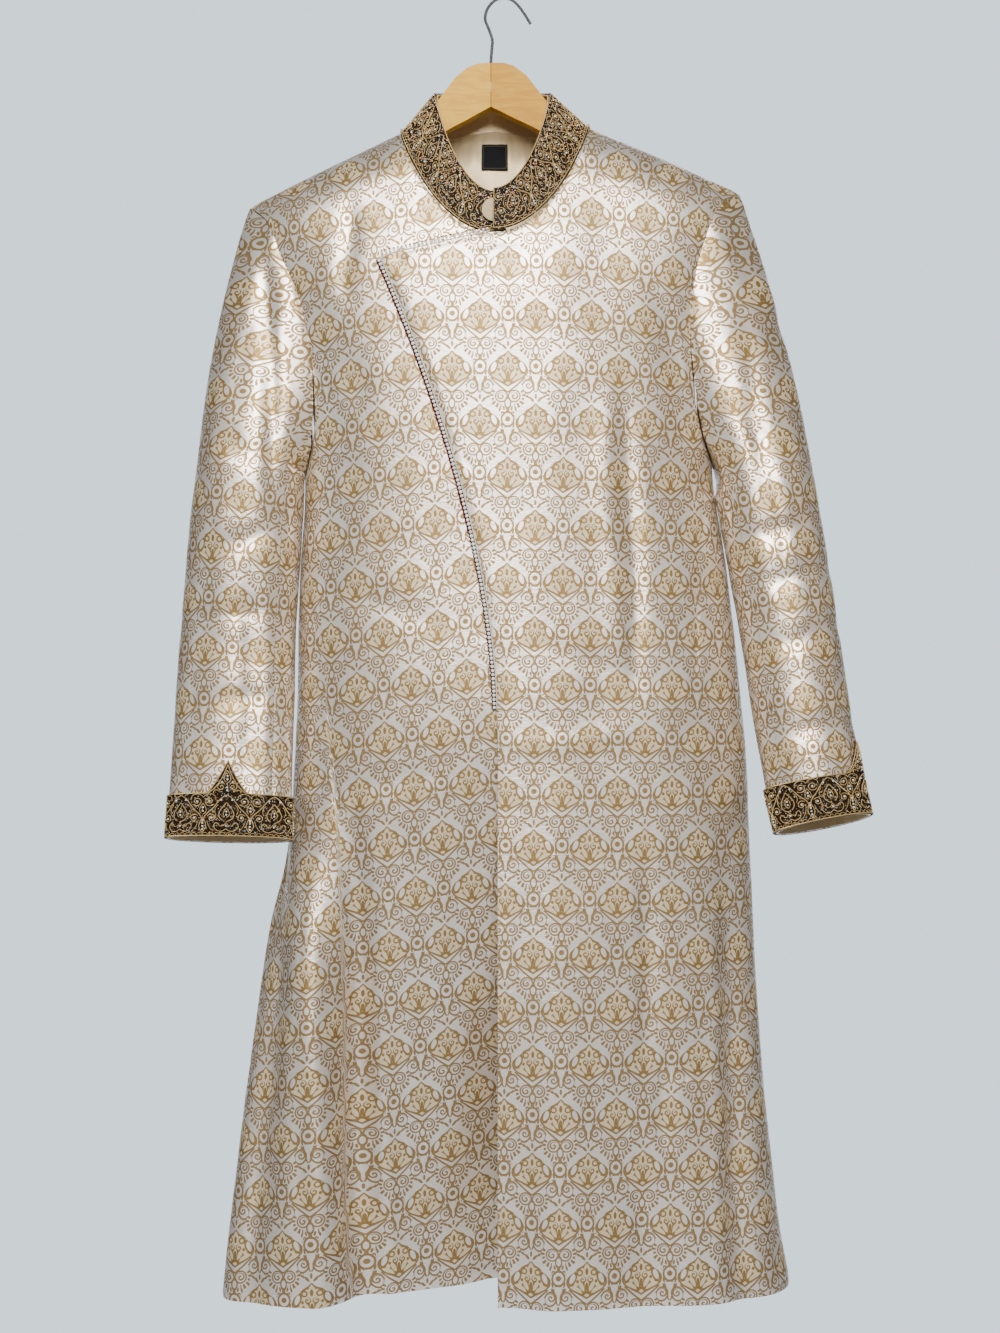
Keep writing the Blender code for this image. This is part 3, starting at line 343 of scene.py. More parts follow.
def fold_depth(front, x, z):
    total = np.zeros(np.broadcast(x, z).shape)
    for face, fold_x, half_width, depth, top_z in FOLDS:
        across = np.clip(np.abs(x - fold_x) / half_width, 0, 1)
        total += np.where(front == face, depth * (1 + np.cos(pi * across)) / 2
                          * ramp(z, top_z, HEM_Z), 0.0)
    return total


def tuck_depth(x, z):
    """How far the right front falls back below its fold."""
    growth = ramp(z, TUCK_TOP_Z, HEM_Z)
    x = x + TUCK_LEAN * (1 - growth) * np.clip(-x / -TUCK_FOLD_TO, 0, 1)
    fold = TUCK_FOLD_DEPTH * ramp(x, TUCK_FOLD_FROM, TUCK_FOLD_TO)
    slope = TUCK_SLOPE_DEPTH * np.clip((x - TUCK_FOLD_TO) / -TUCK_FOLD_TO, 0, 1)
    return growth * (fold + slope)


def body_point(turn, z, outward=0.0, tucked=False, rounded=True):
    """Points of the body's outer surface, moved out of the front by outward."""
    turn, z = np.broadcast_arrays(np.asarray(turn, float), np.asarray(z, float))
    side = np.where(turn >= 0, 1.0, -1.0)
    half, side_y, front_y, back_y, square = level(z, side)
    angle = np.abs(turn) * pi / 2
    front = np.abs(turn) <= 1
    x = side * half * np.abs(np.sin(angle)) ** (2 / square)
    face_y = np.where(front, front_y, back_y)
    below = np.clip((ridge_z(x) - z) / SHOULDER_ROUND, 0, 1)
    rounding = np.sqrt(1 - (1 - below) ** 2) if rounded else 1.0
    facing = np.abs(np.cos(angle)) ** (2 / square)
    y = side_y + (face_y - side_y) * facing * rounding
    y = y + np.where(front, 1.0, -1.0) * fold_depth(front.astype(int), x, z) * facing
    if tucked:
        y = y + tuck_depth(x, z)
    return xyz(COAT_X + x, y - outward * facing, z)


def neck_point(angle, back=False):
    """The neckline's x and z, at an angle from the centre line, positive to the left."""
    side = np.where(np.asarray(angle) >= 0, 1.0, -1.0)
    point_z = ridge_z(side * NECK_HALF)
    dip = NECK_BACK_DIP * np.abs(np.sin(2 * angle)) ** 1.5
    behind = mix(point_z, NECK_BACK_Z, np.cos(angle)) - dip
    before = point_z + (NECK_FRONT_Z - point_z) * np.maximum(np.cos(angle), 0) ** NECK_ROUND
    return NECK_HALF * np.sin(angle), np.where(back, behind, before)


def armhole_turn(side, z, back):
    """The turn of the armhole's edge on a level, or of the side seam below it."""
    below = tip_z(side) - np.asarray(z, float)
    _, left, right, back_out = (below, *table_at(ARMHOLE, below))
    out = (left if side > 0 else right) + (back_out if back else 0.0)
    return np.where(below >= ARMHOLE_DEPTH - 1e-9, side * 1.0, turn_at(side * out, z, back))


def flap_lift(x):
    """How far the left front stands out to pass over the right one."""
    return FLAP_LIFT * (1 - ramp(x, 0.035, 0.120))


def flap_edge_x(z):
    """The free edge of the left front."""
    down = np.clip((FLAP_CORNER_Z - z) / (FLAP_CORNER_Z - SLIT_TOP_Z), 0, 1)
    return SLIT_X + (FLAP_CORNER_X - SLIT_X) * (1 - down) ** FLAP_CURVE


def row_levels(side):
    """The rows' r values: the armhole's steps, then even steps down the side seam."""
    drop = tip_z(side) - HEM_Z
    steps = np.arange(ARMHOLE_ROWS) / ARMHOLE_ROWS
    start = ARMHOLE_DEPTH / drop
    below = start + (1 - start) * np.arange(SIDE_ROWS + 1) / SIDE_ROWS
    return np.sqrt(np.concatenate([(1 - np.cos(pi * steps)) / 2 * start, below]))


def across(steps, fine=FINE):
    return np.arange(steps * fine + 1) / (steps * fine)


def eased(edge, z):
    """An edge's turns, evened out over a stretch of its height."""
    steps = np.linspace(-EASED_OVER, EASED_OVER, 11)
    return np.mean([edge(np.asarray(z, float) + step) for step in steps], axis=0)


def lay(top, first_edge, last_edge, first_end, last_start, s, r, armhole_last):
    """A panel's turns and heights from its top line and its two edges, on a grid.

    Its columns follow the edges closely beside them and evenly inside, and its rows run level
    beside the armhole's foot.
    """
    s, r = np.meshgrid(s, r)
    down = r * r
    turn_top, z_top = top(s)
    (first_top, first_z), (last_top, last_z) = top(np.array(0.0)), top(np.array(1.0))
    z = mix(z_top, HEM_Z, down)
    first_heights, last_heights = mix(first_z, HEM_Z, down), mix(last_z, HEM_Z, down)
    near = 1 - s if armhole_last else s
    beside = last_heights if armhole_last else first_heights
    z = (z + (beside - z) * (1 - ramp(near, 0.10, 0.60)) * ramp(down, 0, 0.18)
         * (1 - ramp(down, 0.33, 0.80)))
    first, last = first_edge(first_heights), last_edge(last_heights)
    soft_first, soft_last = eased(first_edge, first_heights), eased(last_edge, last_heights)
    close_first, close_last = np.clip(1 - s / 0.2, 0, 1) ** 2, np.clip(1 - (1 - s) / 0.2, 0, 1) ** 2
    close = (first - soft_first) * close_first + (last - soft_last) * close_last
    tops = (first_top - eased(first_edge, first_z)) * close_first \
        + (last_top - eased(last_edge, last_z)) * close_last
    near_top = turn_top + ((soft_first - eased(first_edge, first_z))
                           * np.clip(1 - s / first_end, 0, 1))
    near_top = near_top + (soft_last - eased(last_edge, last_z)) \
        * np.clip((s - last_start) / (1 - last_start), 0, 1) + close - tops
    return mix(mix(soft_first, soft_last, s) + close, near_top, (1 - down) ** 3), z


def front_left_lay(s, r):
    total = FLAP_STEPS + NECK_STEPS + SHOULDER_STEPS
    flap, neck = FLAP_STEPS / total, (FLAP_STEPS + NECK_STEPS) / total

    def top(s):
        neck_x, neck_z = neck_point(np.clip((s - flap) / (neck - flap), 0, 1) * pi / 2)
        x = np.where(s <= flap, mix(FLAP_CORNER_X, 0.0, s / flap),
                     np.where(s <= neck, neck_x,
                              mix(NECK_HALF, SHOULDER_HALF, (s - neck) / (1 - neck))))
        z = np.where(s <= flap, mix(FLAP_CORNER_Z, NECK_FRONT_Z, s / flap),
                     np.where(s <= neck, neck_z, ridge_z(x)))
        return turn_at(x, z), z

    return lay(top, lambda z: turn_at(flap_edge_x(z), z), lambda z: armhole_turn(1, z, False),
               flap, neck, s, r, True)


def front_right_lay(s, r):
    total = SHOULDER_STEPS + NECK_STEPS + 1
    tip, neck = SHOULDER_STEPS / total, (SHOULDER_STEPS + NECK_STEPS) / total

    def top(s):
        neck_x, neck_z = neck_point(-(1 - np.clip((s - tip) / (neck - tip), 0, 1)) * pi / 2)
        x = np.where(s <= tip, -mix(SHOULDER_HALF, NECK_HALF, s / tip),
                     np.where(s <= neck, neck_x, mix(0.0, UNDERLAP, (s - neck) / (1 - neck))))
        z = np.where(s <= tip, ridge_z(x), np.where(s <= neck, neck_z, NECK_FRONT_Z))
        return turn_at(x, z), z

    def inner(z):
        return turn_at(mix(UNDERLAP, UNDERLAP / 2, ramp(z, SLIT_TOP_Z, HEM_Z)), z)

    return lay(top, lambda z: armhole_turn(-1, z, False), inner, tip, neck, s, r, False)


def back_lay(side, s, r):
    """One back: s runs out from the centre back on the right and in towards it on the left."""
    total = NECK_STEPS + SHOULDER_STEPS
    end = NECK_STEPS / total

    def top_out(s):
        neck_x, neck_z = neck_point(side * np.clip(s / end, 0, 1) * pi / 2, back=True)
        x = np.where(s <= end, neck_x, side * mix(NECK_HALF, SHOULDER_HALF, (s - end) / (1 - end)))
        z = np.where(s <= end, neck_z, ridge_z(x))
        turn = turn_at(x, z, True)
        return np.where(s <= 0, side * 2.0, turn), z

    def centre(z):
        return np.full(np.shape(z), side * 2.0)

    def edge(z):
        return armhole_turn(side, z, True)

    if side < 0:
        return lay(top_out, centre, edge, end, end, s, r, True)
    return lay(lambda s: top_out(1 - s), edge, centre, 1 - end, 1 - end, s, r, False)


# Meshes ---------------------------------------------------------------------------------------

def grid_normals(points, closed=False):
    """The directions out of a grid of points whose rows go down."""
    if closed:
        wrapped = np.concatenate([points[:, -1:], points, points[:, :1]], axis=1)
        sideways = (wrapped[:, 2:] - wrapped[:, :-2])
    else:
        sideways = np.gradient(points, axis=1)
    return unit(np.cross(np.gradient(points, axis=0), sideways))


def lengths(points, axis):
    """Distances run along a grid's rows or columns."""
    steps = np.linalg.norm(np.diff(points, axis=axis), axis=-1)
    start = np.zeros_like(np.take(steps, [0], axis=axis))
    return np.cumsum(np.concatenate([start, steps], axis=axis), axis=axis)


class Gathered:
    """Points, faces and material numbers gathered into one mesh."""

    def __init__(self):
        self.points, self.faces, self.finishes, self.cloth, self.count = [], [], [], [], 0

    def add(self, points, faces, finish=0, cloth=None):
        points = np.asarray(points, float).reshape(-1, 3)
        self.points.append(points)
        self.faces.append(np.asarray(faces) + self.count)
        self.finishes.append(np.full(len(faces), finish))
        self.cloth.append(np.zeros((len(points), 3)) if cloth is None
                          else np.asarray(cloth, float).reshape(-1, 3))
        self.count += len(points)

    def piece(self, name, materials, slot, stands_for=(), sharp=50):
        """The gathered mesh as a piece that rides on the coat."""
        points = np.concatenate(self.points)
        data = bpy.data.meshes.new(name)
        data.from_pydata(points.tolist(), [], [face.tolist() for group in self.faces
                                               for face in group])
        data.polygons.foreach_set("material_index", np.concatenate(self.finishes).astype(np.int32))
        layer = data.attributes.new("cloth", "FLOAT_VECTOR", "POINT")
        layer.data.foreach_set("vector", np.concatenate(self.cloth).astype(np.float32).ravel())
        data.validate()
        data.shade_smooth()
        data.set_sharp_from_angle(angle=radians(sharp))
        for material in materials:
            data.materials.append(material)
        made = bpy.data.objects.new(name, data)
        bpy.context.scene.collection.objects.link(made)
        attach(made, "root")
        if stands_for:
            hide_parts(*stands_for)
        return made


def quads(rows, columns, closed=False, flip=False):
    """The faces of a grid of points."""
    i, j = np.meshgrid(np.arange(rows - 1), np.arange(columns if closed else columns - 1),
                       indexing="ij")
    k = (j + 1) % columns
    faces = np.stack([i * columns + j, (i + 1) * columns + j, (i + 1) * columns + k,
                      i * columns + k], axis=-1).reshape(-1, 4)
    return faces[:, ::-1] if flip else faces


def add_wall(gathered, outer, inner, cloth, closed=False, finishes=(0, 1, 0)):
    """A wall of cloth between two grids: outer skin, inner skin and the rims that join them."""
    rows, columns = outer.shape[:2]
    size = rows * columns
    points = np.concatenate([outer.reshape(-1, 3), inner.reshape(-1, 3)])
    coordinates = np.concatenate([cloth.reshape(-1, 3)] * 2)
    start = gathered.count
    gathered.add(points, quads(rows, columns, closed), finishes[0], coordinates)
    gathered.count = start
    inner_faces = quads(rows, columns, closed, flip=True) + size
    index = np.arange(size).reshape(rows, columns)
    loops = [(index[0], True), (index[-1], False)]
    if not closed:
        loops += [(index[:, 0], False), (index[:, -1], True)]
    rims = []
    for line, flip in loops:
        ahead = np.roll(line, -1) if closed else line[1:]
        here = line if closed else line[:-1]
        rim = np.stack([here, ahead, ahead + size, here + size], axis=-1)
        rims.append(rim if not flip else rim[:, ::-1])
    rims = np.concatenate(rims)
    for faces, finish in ((inner_faces, finishes[1]), (rims[:, ::-1], finishes[2])):
        gathered.faces.append(faces + start)
        gathered.finishes.append(np.full(len(faces), finish))
    gathered.count = start + 2 * size


def pull_from_seams(outer, inner):
    """Draw a grid's border in by half a seam's gap."""
    move = np.zeros_like(outer)
    move[0] += unit(outer[3] - outer[0])
    move[-1] += unit(outer[-3] - outer[-1])
    move[:, 0] += unit(outer[:, 1] - outer[:, 0])
    move[:, -1] += unit(outer[:, -2] - outer[:, -1])
    move *= SEAM_GAP / 2
    return outer + move, inner + move


# Small round things, made of the fewest faces that still look round
def ball_faces(cuts=2):
    """A cube cut into a grid and blown up into a ball: its points and faces."""
    points, faces = [], []
    steps = np.linspace(-1, 1, cuts + 1)
    for axis in range(3):
        for end in (-1.0, 1.0):
            u, v = np.meshgrid(steps, steps, indexing="ij")
            square = np.zeros(u.shape + (3,))
            square[..., axis] = end
            square[..., (axis + 1) % 3] = np.tan(u * pi / 4)
            square[..., (axis + 2) % 3] = np.tan(v * pi / 4)
            faces.append(quads(cuts + 1, cuts + 1, flip=end < 0) + len(points) * u.size)
            points.append(square.reshape(-1, 3))
    points = unit(np.concatenate(points))
    rounded, index = np.unique(points.round(6), axis=0, return_inverse=True)
    faces = index.reshape(-1)[np.concatenate(faces)]
    return rounded, faces[:, ::-1]


def add_balls(gathered, centres, radii, finish=0, flat=None, flatness=1.0, cuts=2):
    """Balls at places; flat gives each one's direction along which it is flattened."""
    shape, faces = ball_faces(cuts)
    centres = np.asarray(centres, float).reshape(-1, 3)
    if not len(centres):
        return
    radii = np.broadcast_to(np.asarray(radii, float), (len(centres),))
    points = np.broadcast_to(shape, (len(centres),) + shape.shape).copy()
    if flat is not None:
        flat = np.asarray(flat, float).reshape(-1, 3)
        along = np.einsum("nij,nj->ni", points, flat)
        points -= (1 - flatness) * along[..., None] * flat[:, None, :]
    points = points * radii[:, None, None] + centres[:, None, :]
    everything = faces[None] + (np.arange(len(centres)) * len(shape))[:, None, None]
    cloth = np.repeat(np.stack([np.arange(len(centres)) * 0.37 % 1.0] * 3, axis=-1),
                      len(shape), axis=0)
    gathered.add(points.reshape(-1, 3), everything.reshape(-1, 4), finish, cloth)


def add_cord(gathered, line, normals, radius, finish=0, sides=5, closed=False):
    """A round cord along a line of points that lies on a surface with these normals."""
    line, normals = np.asarray(line, float), np.asarray(normals, float)
    if closed:
        ahead = np.roll(line, -1, axis=0) - np.roll(line, 1, axis=0)
    else:
        ahead = np.gradient(line, axis=0)
    ahead = unit(ahead)
    beside = unit(np.cross(ahead, normals))
    up = unit(np.cross(beside, ahead))
    radius = np.broadcast_to(np.asarray(radius, float), (len(line),))
    turn = np.arange(sides) / sides * 2 * pi
    ring = (np.cos(turn)[None, :, None] * beside[:, None, :]
            + np.sin(turn)[None, :, None] * up[:, None, :]) * radius[:, None, None]
    points = line[:, None, :] + ring
    cloth = np.zeros(points.shape)
    cloth[..., 0] = lengths(line, 0)[:, None]
    cloth[..., 1] = (np.arange(sides) / sides)[None, :]
    faces = quads(len(line), sides, closed=True, flip=True)
    gathered.add(points, faces, finish, cloth)


# Creases, seams and the cloth's own waves -----------------------------------------------------

def crease_depth(rows, x, z, strength):
    """How far the listed creases sink in at places on a face."""
    total = np.zeros(x.shape)
    for x0, z0, x1, z1, half_width, depth in rows:
        run = np.hypot(x1 - x0, z1 - z0)
        along_x, along_z = (x1 - x0) / run, (z1 - z0) / run
        t = (x - x0) * along_x + (z - z0) * along_z
        aside = (x - x0) * along_z - (z - z0) * along_x
        aside = aside + 0.15 * half_width * np.sin(t / run * 5.0 + x0 * 90)
        tail = max(0.30 * run, half_width)
        ends = ramp(t, -tail, tail) * (1 - ramp(t, run - tail, run + tail))
        total += depth * ends * np.exp(-(aside / half_width) ** 2 * 1.6)
    return total * strength


def cloth_waves(x, z, phase):
    """The slight unevenness of lined cloth on a hanger."""
    return 0.00055 * (np.sin(x * 21 + z * 9 + phase) * np.sin(z * 13 - x * 6 + phase * 2)
                      + 0.6 * np.sin(x * 47 - z * 17 + phase * 3) * np.sin(z * 31 + phase)
                      + 0.30 * np.sin(x * 95 + z * 61 + phase * 5) * np.sin(z * 77 - x * 40))


def seam_dip(points, edges, depth=0.0011, reach=0.0035):
    """How far cloth sinks towards its sewn edges: first and last column, first and last row."""
    aside, down = lengths(points, 1), lengths(points, 0)
    total = np.zeros(points.shape[:2])
    for edge, distance in (("first", aside), ("last", aside[:, -1:] - aside),
                           ("top", down), ("bottom", down[-1:] - down)):
        if edge in edges:
            total += depth * np.exp(-(distance / reach) ** 2)
    return total


def finished_wall(points, sink, wall=WALL):
    """Outer and inner skins of a panel whose surface sinks in by an amount at each point."""
    outer = points - grid_normals(points) * sink[..., None]
    inner = outer - grid_normals(outer) * wall
    return pull_from_seams(outer, inner)


def ring_length(turn, z, start):
    """How far round the body's ring a turn is from a starting turn, as cloth lies on it."""
    steps = 24
    t = np.linspace(0.0, 1.0, steps + 1)
    turns = mix(np.full_like(turn, start)[..., None], turn[..., None], t)
    rings = body_point(turns, np.broadcast_to(z[..., None], turns.shape), rounded=False)
    run = np.linalg.norm(np.diff(rings, axis=-2), axis=-1).sum(axis=-1)
    return run * np.sign(turn - start)


def shoulder_run(x, z):
    """Heights stretched to the cloth's own length where it rounds over the shoulder."""
    bend = 0.044
    below = np.clip((ridge_z(x) - z) / SHOULDER_ROUND, 0, 1)
    return np.where(below < 1, ridge_z(x) - SHOULDER_ROUND + bend * np.arcsin(1 - below), z)


# The coat's panels ----------------------------------------------------------------------------

def lay_front_left():
    s = across(FLAP_STEPS + NECK_STEPS + SHOULDER_STEPS)
    turn, z = front_left_lay(s, row_levels(1))
    bare = body_point(turn, z)
    points = body_point(turn, z, outward=flap_lift(bare[..., 0] - COAT_X))
    x = bare[..., 0] - COAT_X
    u, v = ring_length(turn, z, 0.0), shoulder_run(x, z)
    a = u - 0.013 + 0.0053 * (-z - 0.2712)
    b = (v + 0.2712) * 0.997 + 0.06 * np.maximum(x - 0.085, 0) * ramp(z, -0.42, -0.28)
    return points, x, z, xyz(a, b, 0.0)


def lay_front_right():
    s = across(SHOULDER_STEPS + NECK_STEPS + 1)
    turn, z = front_right_lay(s, row_levels(-1))
    points = body_point(turn, z, tucked=True)
    x = points[..., 0] - COAT_X
    u, v = ring_length(turn, z, 0.0), shoulder_run(x, z)
    a = -u - 0.0189 - 0.0224 * (z + 0.9424)
    dart_x = np.interp(-z, DART_Z, DART_X)
    taken_in = DART_SHIFT * ramp(-z, DART_Z[0], 0.85) * ramp(dart_x - x, -0.001, 0.001)
    b = v + 0.9424 - 0.12 * (x + 0.0189) - taken_in
    return points, x, z, xyz(a, b, 0.0)


def lay_back(side):
    s = across(NECK_STEPS + SHOULDER_STEPS)
    turn, z = back_lay(side, s, row_levels(side))
    points = body_point(turn, z)
    x = points[..., 0] - COAT_X
    u, v = np.abs(ring_length(turn, z, side * 2.0)), shoulder_run(x, z)
    return points, x, z, xyz(u - 0.006, v + 0.3000, 0.0)


def build_panel(name, laid, phase, settings, materials):
    points, x, z, cloth = laid
    from_start = lengths(points, 1)
    from_edge = np.minimum(from_start, from_start[:, -1:] - from_start)
    sink = crease_depth(CREASES[name], x, z, settings.fold_strength)
    sink = sink * ramp(from_edge, 0.0, CREASE_EDGE)
    sink = sink + cloth_waves(x, z, phase) * settings.fold_strength
    sink = sink + seam_dip(points, ("first", "last", "top", "bottom"))
    outer, inner = finished_wall(points, sink)
    gathered = Gathered()
    add_wall(gathered, outer, inner, cloth)
    return gathered.piece("brocade_" + name, materials, "brocade", (name,))


# Sleeves --------------------------------------------------------------------------------------

def clear_of_body(points, side, clearance):
    """Move a sleeve's points outwards where they would touch the body."""
    z, y = points[..., 2], points[..., 1]
    half, side_y, front_y, back_y, square = level(z, np.full(z.shape, float(side)))
    face_y = np.where(y < side_y, front_y, back_y)
    reach = (y - side_y) / (face_y - side_y)
    nearest = half * np.clip(1 - np.clip(reach, 0, 1) ** square, 0, 1) ** (1 / square)
    out = side * (points[..., 0] - COAT_X)
    moved = np.where(reach < 1, np.maximum(out, nearest + clearance), out)
    return xyz(COAT_X + side * moved, y, z)


def sleeve_axis(name, z):
    side = 1 if name == "left" else -1
    out, forward, half_width, half_depth = table_at(SLEEVES[name], z)
    return xyz(COAT_X + side * out, -forward, z), half_width, half_depth


def sleeve_tube(name, quarter, z):
    """Points of a sleeve below its cap; its rings stand square to its axis."""
    side = 1 if name == "left" else -1
    quarter, z = np.broadcast_arrays(np.asarray(quarter, float), np.asarray(z, float))
    centre, half_width, half_depth = sleeve_axis(name, z)
    table = SLEEVES[name]
    low = sleeve_axis(name, np.maximum(z - NUDGE, table[-1][0]))[0]
    high = sleeve_axis(name, np.minimum(z + NUDGE, table[0][0]))[0]
    axis = unit(low - high)
    outward = unit(np.cross(np.broadcast_to([0.0, -1.0, 0.0], axis.shape), axis))
    outward = outward * np.sign(outward[..., :1] * side)
    forward = unit(np.cross(outward, axis))
    forward = forward * -np.sign(forward[..., 1:2])
    angle = quarter * pi / 2
    points = (centre + outward * (half_width * np.cos(angle))[..., None]
              + forward * (half_depth * np.sin(angle))[..., None])
    return clear_of_body(points, side, BODY_CLEARANCE)


def sleeve_normal(name, quarter, z):
    quarter, z = np.broadcast_arrays(np.asarray(quarter, float), np.asarray(z, float))
    table = SLEEVES[name]
    z_low, z_high = np.maximum(z - NUDGE, table[-1][0]), np.minimum(z + NUDGE, table[0][0])
    around = sleeve_tube(name, quarter + NUDGE * 4, z) - sleeve_tube(name, quarter - NUDGE * 4, z)
    down = sleeve_tube(name, quarter, z_low) - sleeve_tube(name, quarter, z_high)
    normal = unit(np.cross(around, down))
    away = sleeve_tube(name, quarter, z) - sleeve_axis(name, z)[0]
    facing = np.sign(np.sum(normal * away, axis=-1, keepdims=True))
    return normal * np.where(facing == 0, 1, facing)


def armhole_ring(side):
    """The armhole's points, the body's normals there and the directions into the hole."""
    front = lay_front_left() if side > 0 else lay_front_right()
    back = lay_back(side)
    edges = []
    for points, column in ((front[0], -1 if side > 0 else 0), (back[0], 0 if side > 0 else -1)):
        edges.append((points[:ARMHOLE_ROWS + 1, column],
                      grid_normals(points)[:ARMHOLE_ROWS + 1, column]))
    (front_points, front_normals), (back_points, back_normals) = edges
    points = np.concatenate([front_points, back_points[ARMHOLE_ROWS - 1:0:-1]])
    normals = np.concatenate([front_normals, back_normals[ARMHOLE_ROWS - 1:0:-1]])
    for k in (0, ARMHOLE_ROWS):
        normals[k] = unit(front_normals[k] + back_normals[k])
    along_edge = unit(np.roll(points, -1, axis=0) - np.roll(points, 1, axis=0))
    into = points.mean(axis=0) - points
    into = into - normals * np.sum(into * normals, axis=1, keepdims=True)
    into = into - along_edge * np.sum(into * along_edge, axis=1, keepdims=True)
    return points, normals, unit(into)


def lay_sleeve(name, start, end):
    """A sleeve piece's points, walls' directions and cloth coordinates."""
    side = 1 if name == "left" else -1
    ring, body_normals, into = armhole_ring(side)
    per_quarter = len(ring) // 4
    count = round((end - start) * per_quarter)
    quarters = start + np.arange(count + 1) / per_quarter
    index = np.round(quarters * per_quarter).astype(int) % len(ring)
    table = SLEEVES[name]
    top_z = table[0][0]
    ring_end = sleeve_tube(name, quarters, np.full(quarters.shape, top_z))
    inwards = -sleeve_normal(name, quarters, np.full(quarters.shape, top_z))
    outward_share = np.cos(quarters * pi / 2)
    under = np.maximum(-outward_share, 0)
    rows, walls = [], []
    for w in np.arange(CAP_ROWS) / CAP_ROWS:
        bulge = mix(CAP_BULGE, UNDER_BULGE, ramp(under, 0.0, 0.3)) * 4 * w * (1 - w)
        bulge = bulge * np.abs(outward_share)
        line = mix(ring[index], ring_end, w) + xyz(side * bulge, 0.0, 0.0)
        clearance = BODY_CLEARANCE * float(ramp(w, -0.2, 0.6))
        if w > 0:
            cleared = clear_of_body(line, side, clearance)
            line = mix(line, cleared, ramp(under, 0.28, 0.34)[:, None])
        turned = ramp(under, 0.0, 0.7)[:, None]
        first = mix(-body_normals[index], into[index], turned)
        walls.append(unit(mix(first, inwards, w)))
        rows.append(line)
    heights = np.linspace(top_z, table[-1][0], TUBE_ROWS + 1)
    tube = sleeve_tube(name, quarters[None, :], heights[:, None])
    tube_walls = -sleeve_normal(name, quarters[None, :], heights[:, None])
    points = np.concatenate([np.array(rows), tube])
    walls = np.concatenate([np.array(walls), tube_walls])
    column_run = lengths(points, 0)
    v = column_run[CAP_ROWS][None, :] - column_run
    axis = sleeve_axis(name, heights)[0]
    v[CAP_ROWS:] = -lengths(axis[:, None, :], 0)
    middle = CAP_ROWS + TUBE_ROWS // 3
    zero = np.interp(1.0 if start < 1.0 < end else 2.0, quarters, np.arange(len(quarters)))
    run = lengths(points, 1)[middle]
    u = run - np.interp(zero, np.arange(len(run)), run)
    return points, walls, xyz(np.broadcast_to(u, v.shape), v + top_z, 0.0), quarters


def build_sleeve(name, part, start, end, settings, materials):
    points, walls, cloth, quarters = lay_sleeve(name, start, end)
    x, z = points[..., 0] - COAT_X, points[..., 2]
    faces_front = ramp(np.sin(quarters * pi / 2), -0.35, 0.15)[None, :]
    sink = crease_depth(CREASES["sleeve_" + name], x, z, settings.fold_strength) * faces_front
    behind = crease_depth(CREASES["sleeve_" + name], x + 0.012, z + 0.03, settings.fold_strength)
    sink = sink + 0.8 * behind * (1 - faces_front)
    away = lengths(points, 0)
    sink = sink + cloth_waves(x, z, 1.7 if name == "left" else 2.9) * settings.fold_strength \
        * ramp(away, 0.0, 0.03)
    sink = sink + seam_dip(points, ("first", "last", "top"), 0.0009)
    offset = walls * sink[..., None]
    outer = points + offset
    inner = outer + walls * WALL
    outer, inner = pull_from_seams(outer, inner)
    node = "sleeve_" + part + "_" + name
    gathered = Gathered()
    add_wall(gathered, outer, inner, cloth)
    return gathered.piece("brocade_" + node, materials, "brocade", (node,))


# Embroidery -----------------------------------------------------------------------------------
# A motif is drawn flat, in millimetres: p across from its middle and q up from the band's edge.

def smooth_line(places, per_stretch=7):
    """A smooth line through a few places."""
    rows = [(k, *place) for k, place in enumerate(places)]
    at = np.linspace(0, len(places) - 1, (len(places) - 1) * per_stretch + 1)
    return np.stack(table_at(rows, at), axis=-1)


def spade(p, q_low, q_high, half_width):
    """A drop that is pointed at the top: a closed line."""
    t = np.linspace(0, 1, 15)
    out = half_width * np.sin(pi * t ** 0.8) ** 0.9 * (1.12 - 0.42 * t)
    q = q_low + (q_high - q_low) * t
    right = np.stack([p + out, q], axis=-1)
    left = np.stack([p - out[::-1], q[::-1]], axis=-1)
    return np.concatenate([right, left[1:-1]])


def curl(p, q, radius, turns, start, hand):
    """A spiral that winds inwards."""
    t = np.linspace(0, 1, int(16 * turns))
    angle = start + hand * turns * 2 * pi * t
    r = radius * (1 - 0.86 * t)
    return np.stack([p + r * np.cos(angle), q + r * np.sin(angle)], axis=-1)


def mirrored(line):
    return line * np.array([-1.0, 1.0])


